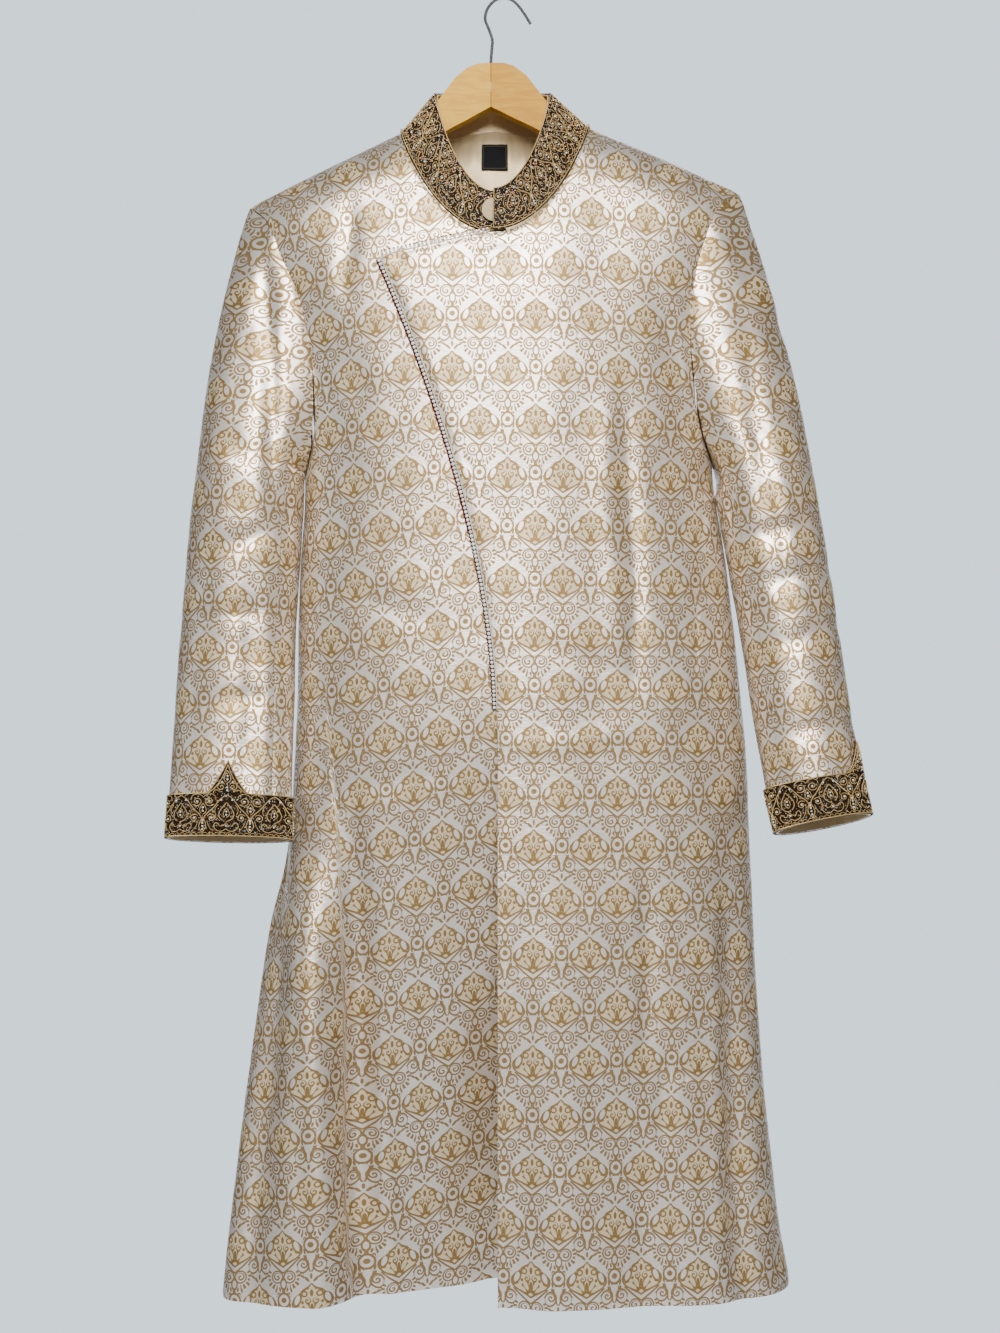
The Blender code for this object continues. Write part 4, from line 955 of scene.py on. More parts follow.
def band_motif(half):
    """Cords of one repeat of the band, half its pitch wide each way: (line, radius, closed)."""
    scale = half / (MOTIF_PITCH / 2)
    cords = [(spade(0, 13.5, 31.5, 6.6), 0.95, True), (spade(0, 17.5, 26.5, 2.7), 0.7, True)]
    pairs = [
        (smooth_line([(0, 7.0), (3.6, 4.9), (8.0, 5.8), (10.3, 9.6), (8.6, 12.6), (6.3, 11.2)]),
         0.8),
        (smooth_line([(0, 12.8), (2.2, 10.2), (5.4, 9.8), (6.2, 12.2)]), 0.65),
        (smooth_line([(20, 11.5), (18.0, 19.0), (12.0, 25.5), (8.0, 31.0), (4.2, 35.8), (0, 38.8)]),
         0.95),
        (curl(14.6, 32.6, 4.6, 1.55, -2.5, 1), 0.8),
        (curl(12.6, 17.0, 3.9, 1.45, 0.6, 1), 0.75),
        (smooth_line([(16.2, 14.5), (14.8, 10.0), (13.2, 7.4), (11.4, 5.4)]), 0.6),
        (smooth_line([(8.6, 20.0), (9.8, 23.5), (9.0, 27.0), (7.0, 29.4)]), 0.6),
        (smooth_line([(20, 36.5), (17.6, 38.8), (13.2, 39.6), (9.8, 37.4), (9.2, 34.0)]), 0.7),
    ]
    for line, radius in pairs:
        cords += [(line, radius, False), (mirrored(line), radius, False)]
    lens_right = smooth_line([(20, 3.4), (22.9, 8.6), (22.2, 13.4), (20, 17.8)])
    lens_left = lens_right * np.array([-1.0, 1.0]) + np.array([40.0, 0.0])
    cords += [(lens_right, 0.8, False), (lens_left, 0.8, False)]
    cords.append((spade(20, 20.5, 31.0, 3.0), 0.7, True))
    scallop = np.linspace(0, pi, 8)
    for k in range(-4, 4):
        arc = np.stack([2.5 + 5 * k + 2.2 * np.cos(scallop), 1.6 + 2.0 * np.sin(scallop)], axis=-1)
        cords.append((arc, 0.5, False))
    return [(line * np.array([scale, 1.0]), radius, closed) for line, radius, closed in cords]


def motif_pearls(half):
    """Places of one repeat's white beads."""
    scale = half / (MOTIF_PITCH / 2)
    places = [(20, 6.6), (20, 9.4), (20, 12.2), (20, 14.9), (0, 20.0), (0, 23.0),
              (20, 23.6), (20, 26.6), (4.6, 34.0), (-4.6, 34.0), (0, 10.0),
              (14.6, 32.6), (-14.6, 32.6), (12.6, 17.0), (-12.6, 17.0)]
    return np.array(places) * np.array([scale, 1.0])


def scattered(low_p, high_p, low_q, high_q, pitch, seed):
    """Places on a shaken grid."""
    shake = np.random.default_rng(seed)
    p, q = np.meshgrid(np.arange(low_p, high_p, pitch), np.arange(low_q, high_q, pitch))
    p = p + (np.arange(len(p)) % 2)[:, None] * pitch / 2
    places = np.stack([p, q], axis=-1).reshape(-1, 2)
    return places + shake.uniform(-0.28, 0.28, places.shape) * pitch, shake


def away_from(places, lines, distance):
    """Which places are clear of all the lines."""
    taken = np.concatenate([np.asarray(line, float) for line in lines])
    clear = np.ones(len(places), bool)
    for start in range(0, len(places), 400):
        part = places[start:start + 400]
        gap = np.linalg.norm(part[:, None] - taken[None], axis=-1).min(axis=1)
        clear[start:start + 400] = gap > distance
    return clear


def embroider(gathered, cords, pearls, spots, place):
    """Lay cords and beads on a band. place takes p, q and a lift in millimetres."""
    gold, pearl, silver, copper, jet = range(5)
    for line, radius, closed in cords:
        p, q = line[:, 0], line[:, 1]
        points, normals = place(p, q, radius * 0.45)
        add_cord(gathered, points, normals, radius * CORD_SCALE, gold, sides=6, closed=closed)
    if len(pearls):
        points, normals = place(pearls[:, 0], pearls[:, 1], 0.5)
        add_balls(gathered, points, PEARL_RADIUS, pearl)
    places, shake = spots
    kind = shake.random(len(places))
    size = shake.uniform(0.55, 0.85, len(places))
    for low, high, finish in ((0.0, 0.20, silver), (0.20, 0.42, copper), (0.42, 1.0, jet)):
        chosen = (kind >= low) & (kind < high)
        points, normals = place(places[chosen, 0], places[chosen, 1], 0.25)
        add_balls(gathered, points, size[chosen] * 0.001, finish, cuts=1 + (finish == silver))


# Cuffs ----------------------------------------------------------------------------------------

def finial_rise(p):
    """How much further up the cuff goes, p metres from the finial's middle."""
    t = np.clip(np.abs(p) / FINIAL_HALF, 0, 1)
    return FINIAL_HEIGHT * (1 - t) ** 1.3


def build_cuff(name, materials):
    bottom_z = SLEEVES[name][-1][0]
    middle = FINIAL_AT[name]
    quarters = middle + np.linspace(-2, 2, 401)
    at = sleeve_tube(name, quarters, np.full(quarters.shape, bottom_z + 0.02))
    run = lengths(at, 0)
    whole = run[-1]
    run = run - whole / 2

    def place(p, q, lift):
        """p and q in millimetres, over the band's outer face."""
        p = (np.asarray(p) * 0.001 + whole / 2) % whole - whole / 2
        quarter = np.interp(p, run, quarters)
        z = bottom_z + np.asarray(q) * 0.001 * 0.95
        normal = sleeve_normal(name, quarter, z)
        out = 2 * SEAM_GAP + CUFF_WALL + np.asarray(lift)[..., None] * 0.001
        return sleeve_tube(name, quarter, z) + normal * out, normal

    columns = 168
    p = np.linspace(-whole / 2, whole / 2, columns + 1)[:-1]
    rows = np.linspace(1.0, 0.0, 14)
    rise = CUFF_HEIGHT + finial_rise(p)
    q = rows[:, None] * rise[None, :] * 1000
    outer, normal = place(np.broadcast_to(p * 1000, q.shape), q, np.zeros(q.shape))
    cloth = xyz(np.broadcast_to(p, q.shape), q * 0.001, 0.0)
    gathered = Gathered()
    add_wall(gathered, outer, outer - normal * CUFF_WALL, cloth, closed=True)
    band = gathered.piece("cuff_" + name + "_embroidered", materials[:2], "embroidery",
                          ("cuff_" + name,))

    repeats = round(whole * 1000 / MOTIF_PITCH)
    half = whole * 1000 / repeats / 2
    cords, pearls = [], []
    for k in range(repeats):
        shift = np.array([2 * half * k, 0.0])
        cords += [(line + shift, radius, closed) for line, radius, closed in band_motif(half)]
        pearls.append(motif_pearls(half) + shift)
    ring = np.linspace(-whole * 500, whole * 500, 240)[:-1]
    edge = np.stack([ring, (CUFF_HEIGHT + finial_rise(ring * 0.001)) * 1000 - 0.6], axis=-1)
    cords.append((edge, 1.0, True))
    cords.append((np.stack([ring, ring * 0 + 0.9], axis=-1), 1.15, True))
    peak = (CUFF_HEIGHT + FINIAL_HEIGHT) * 1000
    finial = [
        (smooth_line([(17.5, 40.0), (10.5, 46.5), (5.8, 54.0), (2.6, 61.0), (0, peak - 4.5)]),
         0.9, False),
        (curl(5.4, 46.6, 4.2, 1.5, 2.4, -1), 0.8, False),
        (smooth_line([(12.6, 40.5), (11.6, 43.0), (8.8, 43.4), (6.0, 41.6)]), 0.7, False),
    ]
    finial += [(mirrored(line), radius, closed) for line, radius, closed in finial]
    finial += [(spade(0, 50.5, 62.5, 3.1), 0.8, True), (curl(0, 70.5, 1.5, 1.0, 0, 1), 0.5, False)]
    cords += finial
    pearls.append(np.array([(0, 54.0), (0, 57.4), (0, 46.0), (0, 43.2), (4.8, 51.4), (-4.8, 51.4)]))
    places, shake = scattered(-whole * 500, whole * 500, 3.0, peak - 4, SPOT_PITCH, 11)
    places = places[places[:, 1] < (CUFF_HEIGHT + finial_rise(places[:, 0] * 0.001)) * 1000 - 2.2]
    wrapped = [np.stack([(line[:, 0] + whole * 500) % (whole * 1000) - whole * 500, line[:, 1]], -1)
               for line, radius, closed in cords]
    places = places[away_from(places, wrapped, SPOT_CLEARANCE)]
    beadwork = Gathered()
    embroider(beadwork, cords, np.concatenate(pearls), (places, shake), place)
    return band, beadwork.piece("cuff_" + name + "_beadwork", materials[2:], "embroidery")


# Collar ---------------------------------------------------------------------------------------

def neckline_normals():
    """The body's normals round the neckline, at its own steps from the centre front by the left."""
    left, right = lay_front_left()[0], lay_front_right()[0]
    back_left, back_right = lay_back(1)[0], lay_back(-1)[0]
    normals = []
    for step in range(4 * NECK_STEPS + 1):
        side = 1 if step < 2 * NECK_STEPS else -1
        from_front = step if side > 0 else 4 * NECK_STEPS - step
        total = np.zeros(3)
        if from_front >= NECK_STEPS:
            points = back_left if side > 0 else back_right
            column = (2 * NECK_STEPS - from_front) * FINE
            total += grid_normals(points)[2, -1 - column if side > 0 else column]
        if from_front <= NECK_STEPS and side > 0:
            total += grid_normals(left)[2, (FLAP_STEPS + from_front) * FINE]
        elif from_front <= NECK_STEPS:
            total += grid_normals(right)[2, (SHOULDER_STEPS + NECK_STEPS - from_front) * FINE]
        normals.append(unit(total))
    return np.array(normals)


class Collar:
    """The stand collar's outer surface; angle goes from the centre front by the left side."""

    def __init__(self):
        self.steps = np.arange(4 * NECK_STEPS + 1) * (pi / 2 / NECK_STEPS)
        self.normals = neckline_normals()

    def neckline_normal(self, angle):
        angle = np.asarray(angle) % (2 * pi)
        return unit(np.stack([np.interp(angle, self.steps, self.normals[:, k])
                              for k in range(3)], axis=-1))

    def point(self, angle, height):
        angle, height = np.broadcast_arrays(np.asarray(angle, float), np.asarray(height, float))
        back = np.cos(angle) < 0
        side = np.where(np.sin(angle) >= 0, 1.0, -1.0)
        from_centre = np.arcsin(np.clip(np.abs(np.sin(angle)), 0, 1)) * side
        x, z = neck_point(from_centre, back)
        lift = np.where(angle < pi / 2, flap_lift(x), 0.0)
        base = body_point(turn_at(x, z, back), z, outward=lift)
        half = np.where(side > 0, COLLAR_TOP_LEFT, COLLAR_TOP_RIGHT)
        facing = np.cos(angle)
        depth = np.where(back, COLLAR_TOP_BACK_DEPTH, COLLAR_TOP_DEPTH)
        z_top = np.where(back, mix(COLLAR_TOP_SIDE_Z, COLLAR_TOP_BACK_Z, -facing),
                         mix(COLLAR_TOP_SIDE_Z, COLLAR_TOP_FRONT_Z,
                             np.maximum(facing, 0) ** NECK_ROUND))
        side_y = BODY[0][3]
        top = xyz(COAT_X + half * np.sin(angle), side_y - depth * facing, z_top)
        points = mix(base, top, height[..., None])
        stand = COLLAR_LIFT * (1 - ramp(angle, radians(12), radians(75))) * mix(0.6, 1.0, height)
        stand = np.where(angle < pi / 2, stand, 0.0)
        return points + self.neckline_normal(angle) * stand[..., None]

    def normal(self, angle, height):
        low, high = np.maximum(height - 0.01, 0.0), height + 0.01
        around = self.point(angle + NUDGE, height) - self.point(angle - NUDGE, height)
        up = self.point(angle, high) - self.point(angle, low)
        return unit(np.cross(around, up))

    def place(self, angle, height, depth):
        """Places a given depth inside the collar's outer surface."""
        angle, height, depth = (np.asarray(v, float) for v in
                                np.broadcast_arrays(angle, height, depth))
        first = np.full(height.shape, COLLAR_FIRST_ROW)
        upper = np.maximum(height, first)
        straight = self.point(angle, upper) - self.normal(angle, upper) * depth[..., None]
        base = (self.point(angle, np.full(height.shape, COLLAR_BASE_ROW))
                - self.neckline_normal(angle) * depth[..., None])
        t = (height - COLLAR_BASE_ROW) / (COLLAR_FIRST_ROW - COLLAR_BASE_ROW)
        low = mix(base, straight, t[..., None])
        return np.where((height < COLLAR_FIRST_ROW)[..., None], low, straight)


def build_collar(materials, lining_materials):
    collar = Collar()
    angles = np.linspace(radians(-1.0), 2 * pi + radians(7.0), 241)
    heights = np.concatenate([np.linspace(1.0, COLLAR_FIRST_ROW, 13),
                              np.linspace(COLLAR_FIRST_ROW, COLLAR_BASE_ROW, 5)[1:]])
    angle_grid, height_grid = np.meshgrid(angles, heights)
    outer = collar.place(angle_grid, height_grid, 0.0)
    inner = collar.place(angle_grid, height_grid, COLLAR_WALL)
    middle = collar.place(angles, np.full(angles.shape, 0.5), 0.0)
    run = lengths(middle, 0)
    whole = run[-1] * 1000
    cloth = xyz(np.broadcast_to(run, angle_grid.shape), height_grid * 0.042, 0.0)
    gathered = Gathered()
    add_wall(gathered, outer, inner, cloth)
    band = gathered.piece("collar_embroidered", materials[:2], "embroidery", ("collar_band",))
    tall = 42.0

    def place(p, q, lift):
        angle = np.interp(np.asarray(p) * 0.001, run, angles)
        height = COLLAR_BASE_ROW + (1 - COLLAR_BASE_ROW) * np.asarray(q) / tall
        lift = np.broadcast_to(np.asarray(lift, float), angle.shape)
        at = collar.place(angle, height, -lift * 0.001)
        return at, collar.normal(angle, np.maximum(height, COLLAR_FIRST_ROW))

    repeats = round(whole / MOTIF_PITCH)
    half = whole / repeats / 2
    cords, pearls = [], []
    for k in range(repeats):
        shift = np.array([half * (2 * k + 1), 0.0])
        for line, radius, closed in band_motif(half):
            line = line + shift
            if line[:, 0].max() < whole - 0.5 and line[:, 0].min() > 0.5:
                cords.append((line, radius, closed))
        pearls.append(motif_pearls(half) + shift)
    pearls = np.concatenate(pearls)
    pearls = pearls[(pearls[:, 0] < whole - 1.5)]
    line = np.linspace(0.0, whole, 240)
    cords.append((np.stack([line, line * 0 + tall - 0.5], axis=-1), 1.0, False))
    cords.append((np.stack([line, line * 0 + 1.0], axis=-1), 0.9, False))
    for end in (0.7, whole - 0.7):
        up = np.linspace(1.0, tall - 0.6, 24)
        cords.append((np.stack([up * 0 + end, up], axis=-1), 0.9, False))
    places, shake = scattered(1.5, whole - 1.5, 3.0, tall - 2.0, SPOT_PITCH, 23)
    places = places[away_from(places, [cord[0] for cord in cords], SPOT_CLEARANCE)]
    beadwork = Gathered()
    embroider(beadwork, cords, pearls, (places, shake), place)
    beadwork = beadwork.piece("collar_beadwork", materials[2:], "embroidery")

    step = pi / 2 / NECK_STEPS
    angles = np.linspace(step, 2 * pi - step, 200)
    heights = np.concatenate([np.linspace(1.012, COLLAR_FIRST_ROW, 12), [0.18, 0.11, 0.03]])
    angle_grid, height_grid = np.meshgrid(angles, heights)
    puffs = 0.00025 * np.sin(angle_grid * 61) * np.sin(height_grid * 5)
    outer = collar.place(angle_grid, height_grid, COLLAR_WALL + LINING_GAP + puffs)
    inner = collar.place(angle_grid, height_grid, COLLAR_WALL + LINING_GAP + LINING_WALL + puffs)
    gathered = Gathered()
    add_wall(gathered, outer, inner, xyz(angle_grid * 0.06, height_grid * 0.04, 0.0),
             finishes=(0, 0, 0))
    lining = gathered.piece("collar_lining_satin", lining_materials, "lining", ("collar_lining",))
    return band, beadwork, lining


def build_button(materials):
    """A flat cloth-covered button on the collar's right end."""
    collar = Collar()
    angle = 2 * pi - radians(0.5)
    normal = collar.normal(np.array(angle), np.array(0.52))
    seat = collar.point(np.array(angle), np.array(0.52)) + normal * BUTTON_SEAT
    side = unit(np.cross(normal, [0.0, 0.0, 1.0]))
    up = np.cross(side, normal)
    rows, columns = 12, 36
    tilt = np.linspace(0.02, pi - 0.3, rows)
    turn = np.arange(columns) / columns * 2 * pi
    out = np.sin(tilt)[:, None] * BUTTON_RADIUS
    rise = (np.sign(np.cos(tilt)) * np.abs(np.cos(tilt)) ** 0.8 + 1.0)[:, None]
    rise = rise * BUTTON_THICKNESS / 2
    points = (seat + side * (out * np.cos(turn))[..., None] + up * (out * np.sin(turn))[..., None]
              + normal * np.broadcast_to(rise, (rows, columns))[..., None])
    cloth = xyz(out * np.cos(turn) + 0.0257, out * np.sin(turn) + 0.02, 0.0)
    gathered = Gathered()
    gathered.add(points, quads(rows, columns, closed=True, flip=True), 0, cloth)
    gathered.add(points[0], [list(range(columns))], 0, cloth[0])
    gathered.add(points[-1], [list(range(columns))[::-1]], 0, cloth[-1])
    return gathered.piece("collar_button_covered", materials, "button", ("collar_button",))


# Lining and label -----------------------------------------------------------------------------

def back_inside(x, z, depth):
    """Places a given depth inside the back's outer surface, at x and z."""
    turn = turn_at(x, z, True)
    points = body_point(turn, z)
    normal = grid_normals(points)
    if normal[..., 1].mean() < 0:
        normal = -normal
    return points - normal * np.asarray(depth)[..., None]


def build_back_lining(materials):
    rows, columns = 40, 120
    angle = np.linspace(-pi / 2, pi / 2, columns + 1)
    neck_x, neck_z = neck_point(angle * 0.985, back=True)
    low_z = -0.300
    down = np.linspace(0.0, 1.0, rows) ** 1.2 * 1.03 - 0.03
    x = mix(neck_x[None, :], (np.linspace(-0.088, 0.088, columns + 1))[None, :], down[:, None])
    z = mix(neck_z[None, :], low_z, down[:, None])
    depth = WALL + BACK_LINING_GAP
    gathers = 0.0010 * np.sin(x * 640 + 2.0 * np.sin(x * 130)) * np.exp(-((z + 0.133) / 0.012) ** 2)
    gathers = gathers + 0.0007 * np.sin(x * 170 + z * 60) * ramp(z, -0.14, -0.17)
    seam = 0.0010 * np.exp(-((z + 0.1255 + 0.02 * np.abs(x)) / 0.0012) ** 2)
    outer = back_inside(x, z, np.full(x.shape, depth) + gathers - seam)
    inner = back_inside(x, z, np.full(x.shape, depth + LINING_WALL) + gathers - seam)
    gathered = Gathered()
    add_wall(gathered, outer[:, ::-1], inner[:, ::-1], xyz(x, z, 0.0)[:, ::-1], finishes=(0, 0, 0))
    return gathered.piece("back_neck_lining_satin", materials, "lining", ("back_neck_lining",))


def build_label(materials):
    """A plain woven label, bare but for its woven edge."""
    steps = 14
    x, z = np.meshgrid(np.linspace(-LABEL_SIZE / 2, LABEL_SIZE / 2, steps),
                       np.linspace(LABEL_TOP_Z, LABEL_TOP_Z - LABEL_SIZE, steps))
    depth = WALL + BACK_LINING_GAP + LINING_WALL + LINING_GAP + 0.0004
    curl_up = 0.0006 * ((x / LABEL_SIZE * 2) ** 2) * (z / LABEL_TOP_Z)
    front = back_inside(x, z, depth + 0.0006 + curl_up)
    back = back_inside(x, z, depth + curl_up)
    cloth = xyz(x / LABEL_SIZE * 2, (z - LABEL_TOP_Z) / LABEL_SIZE * 2 + 1, 0.0)
    gathered = Gathered()
    add_wall(gathered, front, back, cloth, finishes=(0, 0, 0))
    return gathered.piece("neck_label_woven", materials, "label", ("neck_label",))


# Beaded trims ---------------------------------------------------------------------------------

def trim_places(kind):
    """A trim's line of x and z, and the direction away from the left front's edge."""
    if kind == "neck":
        rise = NECK_FRONT_Z - FLAP_CORNER_Z
        length = sqrt(FLAP_CORNER_X**2 + rise**2)
        t = np.linspace(0.0, 1.0, 120)
        x, z = mix(FLAP_CORNER_X, -0.004, t), mix(FLAP_CORNER_Z, NECK_FRONT_Z, t)
        out = np.array([-rise / length, -FLAP_CORNER_X / length])
        return x, z, np.broadcast_to(out, (len(x), 2))
    z = np.linspace(FLAP_CORNER_Z - 0.001, SLIT_TOP_Z, 400)
    slope = (flap_edge_x(z - NUDGE) - flap_edge_x(z)) / NUDGE
    out = np.stack([-np.ones(z.shape), -slope], axis=-1)
    return flap_edge_x(z), z, unit(out)


def build_trim(kind, materials):
    """A row of silver beads with red thread on their outer side and a folded cream edge."""
    x, z, out = trim_places(kind)
    run = np.concatenate([[0.0], np.cumsum(np.hypot(np.diff(x), np.diff(z)))])

    def on_front(at, aside, lift):
        """Places at a distance along the trim, aside from the edge and out of the right front."""
        px, pz = np.interp(at, run, x), np.interp(at, run, z)
        ox, oz = np.interp(at, run, out[:, 0]), np.interp(at, run, out[:, 1])
        qx, qz = px + ox * aside, pz + oz * aside
        points = body_point(turn_at(qx, qz), qz, tucked=True)
        return points + xyz(0.0, -np.asarray(lift, float), 0.0)

    gathered = Gathered()
    count = int(run[-1] / BEAD_PITCH)
    beads = (np.arange(count) + 0.5) * run[-1] / count
    beads_aside, thread_aside = TRIM_OFFSET + 0.0006, TRIM_OFFSET + 0.0024
    shake = np.random.default_rng(5)
    radius = (0.0013 if kind == "neck" else 0.0016) * shake.uniform(0.95, 1.04, count)
    add_balls(gathered, on_front(beads, beads_aside, 0.0034), radius, 0, cuts=4)
    fine = np.linspace(0, run[-1], count * 4)
    facing = np.broadcast_to([0.0, -1.0, 0.0], (len(fine), 3))
    # On the front trim a near-black cord lies under the beads and shows between and beside them as
    # painted shade
    if kind == "front":
        add_cord(gathered, on_front(fine, beads_aside, 0.0008), facing, 0.0021, 3, sides=6)
    add_cord(gathered, on_front(fine, 0.0006, 0.0034), facing, 0.00055, 2, sides=6)
    if kind == "neck":
        add_balls(gathered, on_front(beads, thread_aside, 0.0010), 0.00125, 1)
    else:
        wave = TRIM_OFFSET + 0.0021 + 0.0005 * np.cos(fine / run[-1] * count * 2 * pi)
        upper = fine < run[-1] * 0.62
        add_cord(gathered, on_front(fine[upper], wave[upper], 0.0010), facing[upper], 0.00095, 1)
        lower = beads >= run[-1] * 0.60
        add_balls(gathered, on_front(beads[lower], thread_aside, 0.0010), 0.00105, 1)
        add_balls(gathered, on_front(beads[~lower], thread_aside, 0.0012), 0.00115, 1)
    return gathered.piece("beaded_trim_" + kind, materials, "beads", ("trim_" + kind,))


# Materials ------------------------------------------------------------------------------------

class Weaver:
    """Adds nodes to a new material, or to a given tree, and joins them as they are made."""

    def __init__(self, name=None, tree=None):
        self.tree = tree
        if tree is None:
            self.material = bpy.data.materials.new(name)
            self.material.use_nodes = True
            self.tree = self.material.node_tree
            self.shader = self.tree.nodes["Principled BSDF"]

    def feed(self, socket, value):
        if isinstance(value, bpy.types.NodeSocket):
            self.tree.links.new(value, socket)
        elif value is not None:
            socket.default_value = value

    def math(self, operation, *values, clamp=False):
        node = self.tree.nodes.new("ShaderNodeMath")
        node.operation, node.use_clamp = operation, clamp
        for socket, value in zip(node.inputs, values):
            self.feed(socket, value)
        return node.outputs[0]

    def vector(self, operation, *values):
        node = self.tree.nodes.new("ShaderNodeVectorMath")
        node.operation = operation
        for index, value in enumerate(values):
            socket = "Scale" if operation == "SCALE" and index else index
            self.feed(node.inputs[socket], value)
        return node.outputs["Value" if operation in ("LENGTH", "DISTANCE") else "Vector"]

    def millimetres(self, vector):
        return self.vector("SCALE", vector, 1000.0)

    def attribute(self, name):
        node = self.tree.nodes.new("ShaderNodeAttribute")
        node.attribute_name = name
        return node.outputs["Vector"]

    def parts(self, vector):
        node = self.tree.nodes.new("ShaderNodeSeparateXYZ")
        self.feed(node.inputs[0], vector)
        return node.outputs[0], node.outputs[1], node.outputs[2]

    def join(self, x, y, z=0.0):
        node = self.tree.nodes.new("ShaderNodeCombineXYZ")
        for socket, value in zip(node.inputs, (x, y, z)):
            self.feed(socket, value)
        return node.outputs[0]

    def local(self, vector, place, turn=0.0, size=(1.0, 1.0)):
        """Coordinates from a place, turned and measured in sizes."""
        node = self.tree.nodes.new("ShaderNodeMapping")
        node.vector_type = "TEXTURE"
        self.feed(node.inputs["Vector"], vector)
        node.inputs["Location"].default_value = (*place, 0.0)
        node.inputs["Rotation"].default_value = (0.0, 0.0, radians(turn))
        node.inputs["Scale"].default_value = (*size, 1.0)
        return node.outputs[0]

    def curve(self, value, places):
        """A smooth curve through (in, out) places, both from 0 to 1."""
        node = self.tree.nodes.new("ShaderNodeFloatCurve")
        self.feed(node.inputs["Value"], value)
        points = node.mapping.curves[0].points
        while len(points) < len(places):
            points.new(0.5, 0.5)
        for point, place in zip(points, places):
            point.location = place
        node.mapping.update()
        return node.outputs[0]

    def mixed(self, share, first, second):
        node = self.tree.nodes.new("ShaderNodeMix")
        node.data_type = "RGBA"
        self.feed(node.inputs[0], share)
        for socket, value in ((node.inputs[6], first), (node.inputs[7], second)):
            linked = isinstance(value, bpy.types.NodeSocket)
            self.feed(socket, value if linked else rgba(value))
        return node.outputs[2]

    def ramp(self, value, low, high, to_low=0.0, to_high=1.0):
        node = self.tree.nodes.new("ShaderNodeMapRange")
        for socket, part in zip(node.inputs, (value, low, high, to_low, to_high)):
            self.feed(socket, part)
        return node.outputs[0]

    def noise(self, vector, scale, detail=2.0, roughness=0.5):
        node = self.tree.nodes.new("ShaderNodeTexNoise")
        self.feed(node.inputs["Vector"], vector)
        node.inputs["Scale"].default_value = scale
        node.inputs["Detail"].default_value = detail
        node.inputs["Roughness"].default_value = roughness
        return node.outputs[0]

    def bump(self, height, distance, strength=1.0):
        node = self.tree.nodes.new("ShaderNodeBump")
        node.inputs["Strength"].default_value = strength
        node.inputs["Distance"].default_value = distance
        self.feed(node.inputs["Height"], height)
        self.tree.links.new(node.outputs[0], self.shader.inputs["Normal"])

    def place(self):
        node = self.tree.nodes.new("ShaderNodeTexCoord")
        return node.outputs["Object"]

    def set(self, **values):
        for name, value in values.items():
            self.feed(self.shader.inputs[name.replace("_", " ")], value)
        return self.material


def rgba(colour):
    return (*colour[:3], 1.0)


def dimmed(colour, *shares):
    """A colour with each part at its own share, or all at one."""
    return tuple(part * share for part, share in zip(colour, shares * (3 // len(shares))))


class Layer:
    """The most of all the shapes laid on top of each other so far."""

    def __init__(self, weaver):
        self.weaver, self.value = weaver, None

    def add(self, shape):
        self.value = shape if self.value is None else self.weaver.math("MAXIMUM", self.value, shape)

    def within(self, area):
        self.value = self.weaver.math("MULTIPLY", self.value, area)


